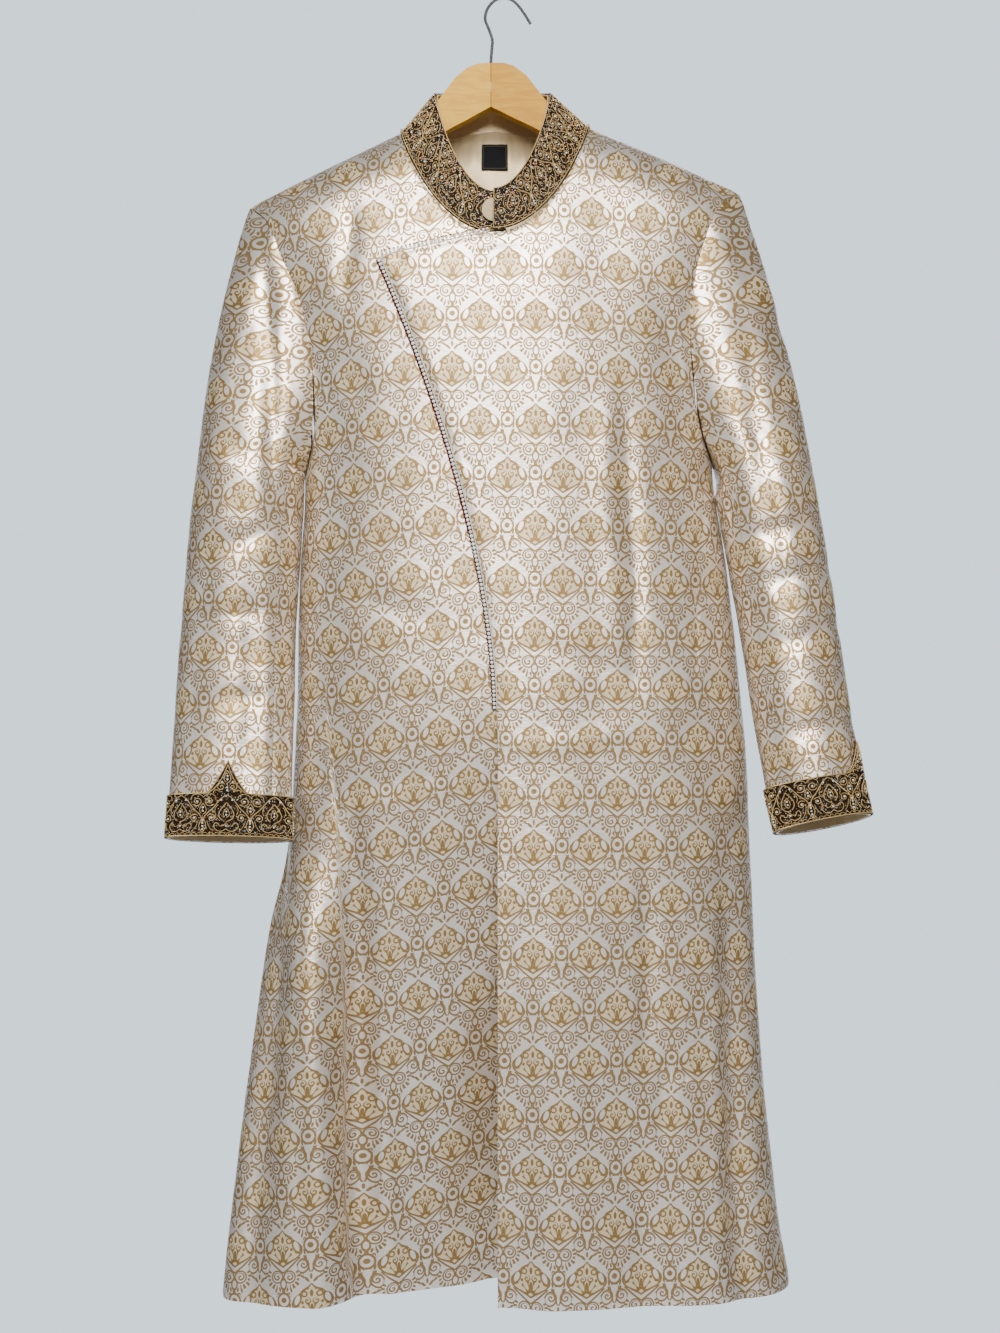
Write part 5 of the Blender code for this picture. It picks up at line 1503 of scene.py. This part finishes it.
def woven_motif(w, settings):
    """The brocade's motif: a place on the cloth, and its shares of gold line and beige fill.

    Columns of one motif stand side by side, every second one half a repeat lower. All is
    measured in millimetres from the middle of a medallion, right half only.
    """
    wide, tall = settings.repeat_width * 1000 / 2, settings.repeat_height * 1000
    cloth = w.millimetres(w.attribute("cloth"))
    a, b, _ = w.parts(cloth)
    x = w.math("PINGPONG", a, wide)
    down = w.math("FRACT", w.math("MULTIPLY", b, -1 / tall))
    half_edge = ((0.0, 0.75), (0.07, 0.62), (0.128, 0.515), (0.22, 0.61), (0.27, 0.58),
                 (0.34, 0.67), (0.38, 0.60), (0.43, 0.37))
    edge = w.curve(down, (*half_edge, *((at + 0.5, 1 - out) for at, out in half_edge), (1.0, 0.75)))
    other = w.math("GREATER_THAN", w.math("MULTIPLY", x, 1 / wide), edge)
    x = w.math("ABSOLUTE", w.math("MULTIPLY_ADD", other, -wide, x))
    y = w.math("WRAP", w.math("MULTIPLY_ADD", other, tall / 2, b), 19.5, 19.5 - tall)
    p = w.join(x, y)

    def from_place(place):
        return w.vector("DISTANCE", p, (*place, 0.0))

    def disc(place, radius):
        return w.math("LESS_THAN", from_place(place), radius)

    def leaf(place, turn, long, broad):
        local = w.local(p, place, turn, (broad / 2, long / 2))
        return w.math("LESS_THAN", w.vector("LENGTH", local), 1.0)

    def loop(place, turn, long, broad, stroke):
        local = w.local(p, place, turn, (broad / 2, long / 2))
        return w.math("COMPARE", w.vector("LENGTH", local), 1.0, stroke)

    def spiral(place, pitch, radius, stroke, turn=0.0, hand=1):
        sx, sy, _ = w.parts(w.local(p, place, turn))
        angle = w.math("ARCTAN2", sy, sx)
        out = from_place(place)
        line = w.math("FRACT", w.math("MULTIPLY_ADD", angle, hand / (2 * pi),
                                      w.math("MULTIPLY", out, 1 / pitch)))
        return w.math("MULTIPLY", w.math("COMPARE", line, 0.5, stroke / pitch / 2),
                      w.math("LESS_THAN", out, radius))

    # The medallion's outline, as a distance from its middle at each angle from straight up
    gold, white = Layer(w), Layer(w)
    angle = w.math("MULTIPLY", w.math("ARCTAN2", x, y), 1 / pi)
    outline = w.curve(angle, ((0.0, 0.79), (0.025, 0.710), (0.07, 0.640), (0.14, 0.615),
                              (0.22, 0.635), (0.34, 0.690), (0.43, 0.722), (0.50, 0.715),
                              (0.57, 0.655), (0.65, 0.560), (0.72, 0.495), (0.81, 0.462),
                              (0.90, 0.468), (1.0, 0.54)))
    beyond = w.math("MULTIPLY_ADD", outline, -25.0, w.vector("LENGTH", p))
    medallion = w.math("LESS_THAN", beyond, -0.4)
    gold.add(w.math("COMPARE", beyond, -0.2, 0.95))
    gold.add(w.math("MULTIPLY", w.math("COMPARE", beyond, w.ramp(angle, 0.60, 1.0, 1.3, 5.2), 0.85),
                    w.math("GREATER_THAN", angle, 0.60)))
    gold.add(leaf((14.8, -10.6), -58, 5.6, 1.9))
    gold.add(loop((12.8, 4.8), 20, 11.0, 5.8, 0.26))
    white.add(leaf((13.3, 4.5), 20, 9.4, 4.0))
    gold.within(w.math("SUBTRACT", 1.0, white.value))

    # The lotus: petals fanned about one point, and what stands over it
    root = (0.0, -11.6, 0.0)
    fx, fy, _ = w.parts(w.vector("SUBTRACT", p, root))
    fan = w.math("ARCTAN2", fx, fy)
    reach = w.math("MULTIPLY", w.vector("DISTANCE", p, root), 1 / 20.0)
    aside = w.math("MULTIPLY", w.math("PINGPONG", fan, radians(13.5)), reach)
    petal = w.curve(reach, ((0.0, 0.0), (0.20, 0.10), (0.42, 0.55), (0.60, 0.60), (0.80, 0.0),
                            (1.0, 0.0)))
    petals = w.math("MULTIPLY", w.math("COMPARE", aside, w.math("MULTIPLY", petal, 0.2), 0.030),
                    w.math("LESS_THAN", reach, w.ramp(fan, 0.0, 1.25, 0.74, 0.58)))
    petals = w.math("MULTIPLY", petals, w.math("LESS_THAN", fan, 1.22))
    gold.add(w.math("MULTIPLY", petals, w.math("GREATER_THAN", reach, 0.12)))
    gold.add(leaf((0.0, -2.6), 0, 7.0, 3.0))
    gold.add(spiral((3.7, 3.6), 2.6, 3.2, 1.35, 40))
    gold.add(leaf((0.0, 10.6), 0, 6.4, 2.8))
    gold.add(loop((6.4, 9.8), 0, 4.6, 4.6, 0.32))
    gold.add(disc((3.2, 14.6), 0.9))
    gold.add(leaf((8.4, 2.0), 0, 3.0, 2.6))
    gold.add(leaf((14.0, -1.4), 78, 5.4, 1.7))

    # Two eyes below the medallion, a drop between them and rays around
    eye = (5.9, -22.4)
    from_eye = from_place(eye)
    gold.add(w.math("COMPARE", from_eye, 5.3, 0.72))
    gold.add(spiral(eye, 3.3, 3.9, 1.6, 200, -1))
    white.add(w.math("LESS_THAN", from_eye, 4.8))
    ex, ey, _ = w.parts(w.vector("SUBTRACT", p, (*eye, 0.0)))
    ray = w.math("ARCTAN2", ex, ey)
    rays = w.math("COMPARE", w.math("PINGPONG", ray, radians(12.0)), radians(12.0), 0.125)
    rays = w.math("MULTIPLY", rays, w.math("COMPARE", from_eye, 9.2, 2.2))
    rays = w.math("MULTIPLY", rays, w.math("GREATER_THAN", ray, 0.9))
    gold.add(w.math("MULTIPLY", rays, w.math("GREATER_THAN", beyond, 4.6)))
    white.add(leaf((0.0, -28.6), 0, 7.4, 3.4))
    gold.add(loop((0.0, -28.8), 0, 9.4, 5.4, 0.26))
    for shape in (((0.0, -35.4), 0, 4.8, 3.2), ((3.6, -33.6), -14, 4.4, 1.9),
                  ((7.4, -34.6), 8, 4.2, 1.9)):
        gold.add(leaf(*shape))

    # Brackets, a ringed dot, a crown of dots and a vase on a stem
    gold.add(spiral((5.2, -38.2), 2.8, 2.6, 1.5, 120, -1))
    gold.add(loop((0.0, -43.6), 0, 13.0, 11.2, 0.16))
    gold.add(leaf((5.4, -49.4), -16, 5.4, 1.9))
    for place, radius in (((0.0, -43.4), 2.5), ((0.0, -50.0), 1.1), ((2.3, -50.4), 0.9)):
        gold.add(disc(place, radius))
    vase = w.curve(w.math("MULTIPLY_ADD", y, -1 / 20.0, -50.0 / 20.0, clamp=True),
                   ((0.0, 0.0), (0.10, 0.0), (0.14, 0.70), (0.26, 0.62), (0.50, 0.34), (0.78, 0.16),
                    (0.86, 0.0), (1.0, 0.0)))
    side = w.math("MULTIPLY_ADD", vase, -5.0, x)
    white.add(w.math("LESS_THAN", side, -0.05))
    gold.add(w.math("MULTIPLY", w.math("COMPARE", side, 0.75, 0.75),
                    w.math("COMPARE", y, -60.0, 7.6)))

    # Scrolls on both sides of the vase, with their leaves
    scroll = (6.6, -61.0)
    gold.add(spiral(scroll, 2.9, 4.0, 1.5, 60, 1))
    gold.add(loop((7.2, -62.0), 18, 12.6, 10.4, 0.15))
    from_scroll = from_place(scroll)
    sx, sy, _ = w.parts(w.vector("SUBTRACT", p, (*scroll, 0.0)))
    spoke = w.math("PINGPONG", w.math("ARCTAN2", sx, sy), radians(14.0))
    spokes = w.math("MULTIPLY", w.math("COMPARE", spoke, radians(14.0), 0.13),
                    w.math("COMPARE", from_scroll, 9.6, 1.9))
    gold.add(w.math("MULTIPLY", spokes, w.math("GREATER_THAN", sx, 0.5)))
    for shape in (((0.0, -71.4), 0, 5.2, 2.2), ((3.6, -74.2), -42, 6.0, 2.4),
                  ((7.6, -71.6), -56, 5.4, 2.0), ((5.6, -54.4), -10, 5.0, 1.9)):
        gold.add(leaf(*shape))
    fill = w.math("MULTIPLY", medallion, w.math("SUBTRACT", 1.0, white.value))
    return cloth, gold.value, fill


def brocade(settings):
    """Silk brocade: satin ground that shines back, gold-brown woven lines and beige medallions."""
    w = Weaver("brocade_silk")
    cloth, gold, fill = woven_motif(w, settings)
    patchy = w.noise(cloth, 0.013, 2.0)
    slub = w.noise(w.vector("MULTIPLY", cloth, (0.10, 1.4, 1.0)), 1.0, 1.0)
    ground = w.mixed(w.ramp(patchy, 0.35, 0.65), settings.ground_colour,
                     dimmed(settings.ground_colour, 0.97, 0.93, 0.90))
    colour = w.mixed(w.math("MULTIPLY", fill, 0.80), ground, settings.medallion_colour)
    line = w.mixed(w.ramp(slub, 0.3, 0.7), settings.line_colour,
                   dimmed(settings.line_colour, 0.82))
    colour = w.mixed(w.math("MULTIPLY", gold, settings.line_strength), colour, line)
    matt = w.math("MAXIMUM", gold, w.math("MULTIPLY", fill, 0.55))
    w.bump(w.math("ADD", slub, w.noise(cloth, 0.35, 1.0)), settings.relief * 0.001, 0.5)
    metallic = w.math("MAXIMUM", w.ramp(matt, 0.0, 1.0, settings.satin, 0.15),
                      w.math("MULTIPLY", gold, 0.6))
    return w.set(Base_Color=colour, Metallic=metallic, Specular_IOR_Level=0.12,
                 Roughness=w.ramp(matt, 0.0, 1.0, 0.40, 0.46),
                 Sheen_Weight=settings.sheen, Sheen_Roughness=0.4)


def lining_satin(settings):
    w = Weaver("lining_satin")
    cloth = w.millimetres(w.attribute("cloth"))
    patchy = w.noise(cloth, 0.03, 3.0)
    colour = w.mixed(w.ramp(patchy, 0.35, 0.7), settings.lining_colour,
                     dimmed(settings.lining_colour, 0.88, 0.84, 0.78))
    w.bump(w.noise(w.vector("MULTIPLY", cloth, (0.5, 4.0, 1.0)), 1.0), 0.0002, 0.3)
    return w.set(Base_Color=colour, Metallic=0.25, Roughness=0.42, Specular_IOR_Level=0.2)


def beaded_ground(settings):
    """Black net filled with bugle beads and knots."""
    w = Weaver("beaded_ground")
    cloth = w.millimetres(w.attribute("cloth"))
    cells = w.tree.nodes.new("ShaderNodeTexVoronoi")
    cells.inputs["Scale"].default_value = 0.62
    cells.inputs["Randomness"].default_value = 0.85
    w.feed(cells.inputs["Vector"], cloth)
    ramp_node = w.tree.nodes.new("ShaderNodeValToRGB")
    w.feed(ramp_node.inputs[0], w.parts(cells.outputs["Color"])[0])
    stops = ((0.0, settings.net_colour), (0.40, settings.copper_colour),
             (0.58, settings.net_colour), (0.74, settings.silver_colour),
             (0.86, settings.cord_colour), (0.95, settings.net_colour))
    elements = ramp_node.color_ramp.elements
    ramp_node.color_ramp.interpolation = "CONSTANT"
    while len(elements) < len(stops):
        elements.new(0.5)
    for element, (at, colour) in zip(elements, stops):
        element.position, element.color = at, rgba(colour)
    inside = w.ramp(cells.outputs["Distance"], 0.25, 0.62, 1.0, 0.0)
    colour = w.mixed(inside, dimmed(settings.net_colour, 0.5), ramp_node.outputs[0])
    w.bump(inside, 0.0008, 0.8)
    return w.set(Base_Color=colour, Metallic=0.0, Roughness=0.55, Specular_IOR_Level=0.12)


def gold_cord(settings):
    """Twisted gold thread, painted darker in the grooves between its strands as shade."""
    w = Weaver("gold_cord")
    run, turn, _ = w.parts(w.attribute("cloth"))
    strand = w.math("SINE", w.math("ADD", w.math("MULTIPLY", run, 2 * pi / 0.0011),
                                   w.math("MULTIPLY", turn, 2 * pi)))
    # Painted shade: the cord's colour darkens where its strands dip, in the grooves between them
    colour = w.mixed(w.ramp(strand, -1.0, 0.6), dimmed(settings.cord_colour, 0.62),
                     settings.cord_colour)
    w.bump(strand, 0.00022, 0.7)
    return w.set(Base_Color=colour, Metallic=0.45, Roughness=0.36)


def plain(name, colour, roughness, metallic=0.0, coat=0.0, gloss=0.5):
    w = Weaver(name)
    shade, _, _ = w.parts(w.attribute("cloth"))
    mixed = w.mixed(w.ramp(shade, 0.0, 1.0), colour, dimmed(colour, 0.84))
    return w.set(Base_Color=mixed, Metallic=metallic, Roughness=roughness,
                 Coat_Weight=coat, Specular_IOR_Level=gloss)


def thread(name, colour):
    """Matt cotton thread."""
    w = Weaver(name)
    speckle = w.noise(w.millimetres(w.place()), 1.6)
    mixed = w.mixed(w.ramp(speckle, 0.35, 0.65), colour, dimmed(colour, 0.7))
    return w.set(Base_Color=mixed, Roughness=0.75, Specular_IOR_Level=0.1)


def label_cloth(settings):
    """Black damask with a thin woven edge and nothing else."""
    w = Weaver("label_cloth")
    x, y, _ = w.parts(w.attribute("cloth"))
    edge = w.math("MAXIMUM", w.math("ABSOLUTE", x), w.math("ABSOLUTE", y))
    border = w.math("COMPARE", edge, 0.88, 0.022)
    rib = w.math("SINE", w.math("MULTIPLY", y, 190.0))
    colour = w.mixed(w.math("MULTIPLY", border, 0.6), settings.label_colour,
                     settings.label_edge_colour)
    w.bump(rib, 0.0001, 0.4)
    return w.set(Base_Color=colour, Roughness=0.55, Specular_IOR_Level=0.08)


def pine(name, light, dark):
    """Varnished pine with its grain along the arm."""
    w = Weaver(name)
    along = w.vector("MULTIPLY", w.millimetres(w.place()), (0.020, 0.5, 0.16))
    wander = w.noise(along, 0.55, 3.0)
    rings = w.math("SINE", w.math("MULTIPLY_ADD", wander, 34.0,
                                  w.math("MULTIPLY", w.parts(w.place())[2], 420.0)))
    fibre = w.noise(w.vector("MULTIPLY", w.millimetres(w.place()), (0.08, 2.0, 2.4)), 1.0, 3.0)
    colour = w.mixed(w.ramp(rings, -0.9, 1.0, 0.0, 0.55), light, dark)
    colour = w.mixed(w.ramp(fibre, 0.35, 0.75, 0.0, 0.28), colour, dimmed(dark, 0.75))
    w.bump(fibre, 0.0002, 0.25)
    return w.set(Base_Color=colour, Roughness=0.42, Specular_IOR_Level=0.12)


def chrome(settings):
    w = Weaver("chromed_wire")
    scratches = w.noise(w.millimetres(w.place()), 0.9, 3.0)
    return w.set(Base_Color=rgba(settings.wire_colour), Metallic=1.0,
                 Roughness=w.ramp(scratches, 0.3, 0.7, 0.12, 0.30))


def studio_air(settings):
    """Soft air that is pale behind the coat, dim at its sides and warm below."""
    world = bpy.data.worlds.new("studio_air")
    world.use_nodes = True
    w = Weaver(tree=world.node_tree)
    background = w.tree.nodes["Background"]
    _, y, z = w.parts(w.tree.nodes.new("ShaderNodeTexCoord").outputs["Generated"])
    around = w.mixed(w.ramp(z, -0.7, 0.5), settings.low_air_colour, settings.high_air_colour)
    behind = w.ramp(y, 0.70, 0.90)
    w.feed(background.inputs[0], w.mixed(behind, around, settings.air_colour))
    w.feed(background.inputs[1], w.ramp(behind, 0.0, 1.0, 0.20 * settings.light_strength,
                                        1.55 * settings.light_strength))
    return world


def wall_paint(settings):
    w = Weaver("pale_paint")
    patchy = w.noise(w.place(), 1.2, 4.0)
    colour = w.mixed(w.ramp(patchy, 0.3, 0.7), settings.floor_colour,
                     dimmed(settings.floor_colour, 0.96))
    return w.set(Base_Color=colour, Roughness=0.8)


# Settings and operators -----------------------------------------------------------------------

def colour_choice(name, description, value):
    return bpy.props.FloatVectorProperty(name=name, description=description, default=value,
                                         subtype="COLOR", size=3, min=0.0, max=1.0)


class SherwaniSettings(bpy.types.PropertyGroup):
    """What a user would change about the coat's looks."""

    repeat_width: bpy.props.FloatProperty(
        name="Repeat Width", description="Width of the brocade's repeat", default=0.0514,
        min=0.02, max=0.2, unit="LENGTH")
    repeat_height: bpy.props.FloatProperty(
        name="Repeat Height", description="Height of the brocade's repeat", default=0.0972,
        min=0.04, max=0.4, unit="LENGTH")
    fold_strength: bpy.props.FloatProperty(
        name="Fold Strength", description="How deep the creases and waves are", default=1.0,
        min=0.0, max=1.5, subtype="FACTOR")
    relief: bpy.props.FloatProperty(
        name="Weave Relief", description="How far the woven lines stand up, in millimetres",
        default=0.30, min=0.0, max=2.0)
    line_strength: bpy.props.FloatProperty(
        name="Line Strength", description="How strongly the woven lines cover the ground",
        default=0.95, min=0.0, max=1.0, subtype="FACTOR")
    satin: bpy.props.FloatProperty(
        name="Satin", description="How much the ground shines like metal thread", default=0.80,
        min=0.0, max=1.0, subtype="FACTOR")
    sheen: bpy.props.FloatProperty(
        name="Sheen", description="Soft light at the cloth's edges", default=0.03,
        min=0.0, max=1.0, subtype="FACTOR")
    ground_colour: colour_choice("Ground", "Colour of the brocade's satin ground",
                                 (0.88, 0.825, 0.765))
    medallion_colour: colour_choice("Medallions", "Colour inside the medallions",
                                    (0.62, 0.49, 0.29))
    line_colour: colour_choice("Woven Lines", "Colour of the brocade's lines", (0.27, 0.165, 0.050))
    lining_colour: colour_choice("Lining", "Colour of the satin lining", (0.72, 0.58, 0.36))
    net_colour: colour_choice("Net", "Ground of the embroidered bands", (0.016, 0.008, 0.003))
    cord_colour: colour_choice("Gold Cord", "Cord of the embroidered bands", (0.62, 0.44, 0.19))
    silver_colour: colour_choice("Silver Beads", "Small silver beads", (0.34, 0.33, 0.30))
    copper_colour: colour_choice("Copper Beads", "Small copper beads", (0.16, 0.070, 0.026))
    pearl_colour: colour_choice("White Beads", "White beads in the motifs", (0.82, 0.80, 0.74))
    bead_colour: colour_choice("Trim Beads", "Silver beads along the flap", (0.92, 0.90, 0.86))
    thread_colour: colour_choice("Red Thread", "Thread along the beads", (0.13, 0.006, 0.010))
    # Painted shade: the near-black cord under the front trim's beads stands for the shade between
    # them
    bead_gap_shade_colour: colour_choice("Dark Thread", "Thread under the beads",
                                      (0.045, 0.012, 0.012))
    fold_colour: colour_choice("Folded Edge", "Cream edge beside the beads", (0.80, 0.72, 0.58))
    button_colour: colour_choice("Button", "Cloth over the collar's button", (0.60, 0.47, 0.28))
    label_colour: colour_choice("Label", "Cloth of the bare neck label", (0.006, 0.006, 0.008))
    label_edge_colour: colour_choice("Label Edge", "Woven edge of the label", (0.12, 0.10, 0.06))
    # The two arms' woods differ partly in their grain and partly as painted light: the pale wood
    # paints the lit arm, the warm wood the shaded arm
    pale_lit_wood: colour_choice("Pale Wood", "The left arm's wood", (0.72, 0.41, 0.035))
    pale_lit_grain: colour_choice("Pale Grain", "The left arm's grain", (0.56, 0.27, 0.014))
    warm_shaded_wood: colour_choice("Warm Wood", "The right arm's wood", (0.60, 0.30, 0.016))
    warm_shaded_grain: colour_choice("Warm Grain", "The right arm's grain", (0.44, 0.185, 0.006))
    wire_colour: colour_choice("Wire", "The chromed hook", (0.62, 0.62, 0.63))
    floor_colour: colour_choice("Floor", "The studio's floor", (0.74, 0.77, 0.82))
    air_colour: colour_choice("Pale Air", "What stands behind the coat", (0.76, 0.885, 1.0))
    low_air_colour: colour_choice("Low Air", "Light from below", (0.80, 0.66, 0.46))
    high_air_colour: colour_choice("High Air", "Light from above", (0.82, 0.90, 1.0))
    light_strength: bpy.props.FloatProperty(
        name="Light Strength", description="How bright the studio is", default=1.0,
        min=0.1, max=4.0)


_shared = {}


def shared(name, make, *parts):
    """A material that several pieces use, made once."""
    if name not in _shared:
        _shared[name] = make(*parts)
    return _shared[name]


def coat_materials(settings):
    return [shared("brocade", brocade, settings), shared("lining", lining_satin, settings)]


def band_materials(settings):
    return [shared("ground", beaded_ground, settings), shared("lining", lining_satin, settings),
            shared("cord", gold_cord, settings),
            shared("pearl", plain, "white_beads", settings.pearl_colour, 0.22, 0.1, 0.5),
            shared("silver", plain, "silver_beads", settings.silver_colour, 0.25, 0.85),
            shared("copper", plain, "copper_beads", settings.copper_colour, 0.30, 0.7),
            shared("jet", plain, "jet_beads", settings.net_colour, 0.6, 0.0, 0.0, 0.1)]


class SHERWANI_OT_panels(bpy.types.Operator):
    """Make the fronts and backs of the coat in brocade"""
    bl_idname = "sherwani.panels"
    bl_label = "Make Coat Panels"

    def execute(self, context):
        settings = context.scene.sherwani
        materials = coat_materials(settings)
        for name, laid, phase in (("front_left", lay_front_left(), 0.4),
                                  ("front_right", lay_front_right(), 1.1),
                                  ("back_left", lay_back(1), 2.3),
                                  ("back_right", lay_back(-1), 3.7)):
            build_panel(name, laid, phase, settings, materials)
        return {"FINISHED"}


class SHERWANI_OT_sleeves(bpy.types.Operator):
    """Make both sleeves, each of an upper and an under piece"""
    bl_idname = "sherwani.sleeves"
    bl_label = "Make Sleeves"

    def execute(self, context):
        settings = context.scene.sherwani
        for name in ("left", "right"):
            for part, start, end in (("upper", UPPER_FROM, UPPER_TO),
                                     ("under", UPPER_TO, UNDER_TO)):
                build_sleeve(name, part, start, end, settings, coat_materials(settings))
        return {"FINISHED"}


class SHERWANI_OT_embroidery(bpy.types.Operator):
    """Make the embroidered cuffs and collar, with the collar's lining and button"""
    bl_idname = "sherwani.embroidery"
    bl_label = "Make Embroidered Bands"

    def execute(self, context):
        settings = context.scene.sherwani
        materials = band_materials(settings)
        for name in ("left", "right"):
            build_cuff(name, materials)
        build_collar(materials, [materials[1]])
        build_button([shared("covered", thread, "button_cloth", settings.button_colour)])
        return {"FINISHED"}


class SHERWANI_OT_neck(bpy.types.Operator):
    """Make the lining behind the neck and its bare label"""
    bl_idname = "sherwani.neck"
    bl_label = "Make Neck Lining"

    def execute(self, context):
        settings = context.scene.sherwani
        build_back_lining([shared("lining", lining_satin, settings)])
        build_label([shared("label", label_cloth, settings)])
        return {"FINISHED"}


class SHERWANI_OT_trims(bpy.types.Operator):
    """Make the two beaded trims of the flap"""
    bl_idname = "sherwani.trims"
    bl_label = "Make Beaded Trims"

    def execute(self, context):
        settings = context.scene.sherwani
        materials = [shared("beads", plain, "trim_beads", settings.bead_colour, 0.20, 0.0, 0.8),
                     shared("thread", thread, "red_thread", settings.thread_colour),
                     shared("fold", thread, "folded_edge", settings.fold_colour),
                     # The last of these is painted shade between the front trim's beads
                     shared("dark", thread, "dark_thread", settings.bead_gap_shade_colour)]
        for kind in ("neck", "front"):
            build_trim(kind, materials)
        return {"FINISHED"}


class SHERWANI_OT_hanger(bpy.types.Operator):
    """Finish the hanger's wooden arms and its chromed hook"""
    bl_idname = "sherwani.hanger"
    bl_label = "Finish Hanger"

    def execute(self, context):
        settings = context.scene.sherwani
        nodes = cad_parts
        # Painted light on top of the grain: the warm arm is painted as shaded, the pale arm as lit
        warm = pine("warm_shaded_pine", settings.warm_shaded_wood, settings.warm_shaded_grain)
        pale = pine("pale_lit_pine", settings.pale_lit_wood, settings.pale_lit_grain)
        for name, made in (("hanger_arm_left", warm), ("hanger_arm_right", pale),
                           ("hanger_hook", chrome(settings))):
            nodes[name].data.materials.clear()
            nodes[name].data.materials.append(made)
        return {"FINISHED"}


class SHERWANI_OT_studio(bpy.types.Operator):
    """Set up a pale floor, soft lights and the camera"""
    bl_idname = "sherwani.studio"
    bl_label = "Set Up Studio"

    def execute(self, context):
        settings = context.scene.sherwani
        scene = context.scene
        data = bpy.data.meshes.new("studio_floor")
        data.from_pydata([(-3.5, -4.0, FLOOR_Z), (3.5, -4.0, FLOOR_Z), (3.5, 1.9, FLOOR_Z),
                          (-3.5, 1.9, FLOOR_Z)], [], [(0, 1, 2, 3)])
        floor = bpy.data.objects.new("studio_floor", data)
        floor.data.materials.append(wall_paint(settings))
        scene.collection.objects.link(floor)
        scene.world = studio_air(settings)
        lamps = (
            ("key", (-0.02, -2.45, 0.90), 1.5, 146.0, (1.0, 0.97, 0.925)),
            ("cool_side", (-2.4, -0.9, -0.2), 1.2, 3.0, (0.84, 0.95, 1.0)),
            ("warm_side", (2.3, -0.9, 0.1), 1.2, 2.5, (1.0, 0.76, 0.48)),
            ("behind", (0.6, 2.3, 0.4), 1.8, 26.0, (0.96, 0.97, 1.0)),
        )
        aim = Vector((COAT_X, 0.0, -0.62))
        for name, place, size, power, colour in lamps:
            lamp = bpy.data.lights.new(name, "AREA")
            lamp.shape, lamp.size = "DISK", size
            lamp.energy, lamp.color = power * settings.light_strength, colour
            made = bpy.data.objects.new(name, lamp)
            made.location = place
            made.rotation_euler = (aim - Vector(place)).to_track_quat("-Z", "Y").to_euler()
            scene.collection.objects.link(made)
        lens = bpy.data.cameras.new("camera")
        lens.lens, lens.sensor_fit, lens.sensor_height = 51.4, "VERTICAL", 36.0
        camera = bpy.data.objects.new("camera", lens)
        camera.location, camera.rotation_euler = (-0.0048, -1.825, -0.6394), (pi / 2, 0.0, 0.0)
        scene.collection.objects.link(camera)
        scene.camera = camera
        return {"FINISHED"}


class SHERWANI_PT_panel(bpy.types.Panel):
    """The coat's operators and settings"""
    bl_label = "Sherwani"
    bl_space_type = "VIEW_3D"
    bl_region_type = "UI"
    bl_category = "Sherwani"

    def draw(self, context):
        for operator in OPERATORS:
            self.layout.operator(operator.bl_idname)
        for name in SherwaniSettings.__annotations__:
            self.layout.prop(context.scene.sherwani, name)


OPERATORS = (SHERWANI_OT_panels, SHERWANI_OT_sleeves, SHERWANI_OT_embroidery, SHERWANI_OT_neck,
             SHERWANI_OT_trims, SHERWANI_OT_hanger, SHERWANI_OT_studio)
CLASSES = (SherwaniSettings,) + OPERATORS + (SHERWANI_PT_panel,)


def register():
    for made in CLASSES:
        bpy.utils.register_class(made)
    bpy.types.Scene.sherwani = bpy.props.PointerProperty(type=SherwaniSettings)


def unregister():
    del bpy.types.Scene.sherwani
    for made in reversed(CLASSES):
        bpy.utils.unregister_class(made)


def main():
    register()
    bpy.ops.sherwani.panels()
    bpy.ops.sherwani.sleeves()
    bpy.ops.sherwani.embroidery()
    bpy.ops.sherwani.neck()
    bpy.ops.sherwani.trims()
    bpy.ops.sherwani.hanger()
    bpy.ops.sherwani.studio()


if __name__ == "__main__":
    main()
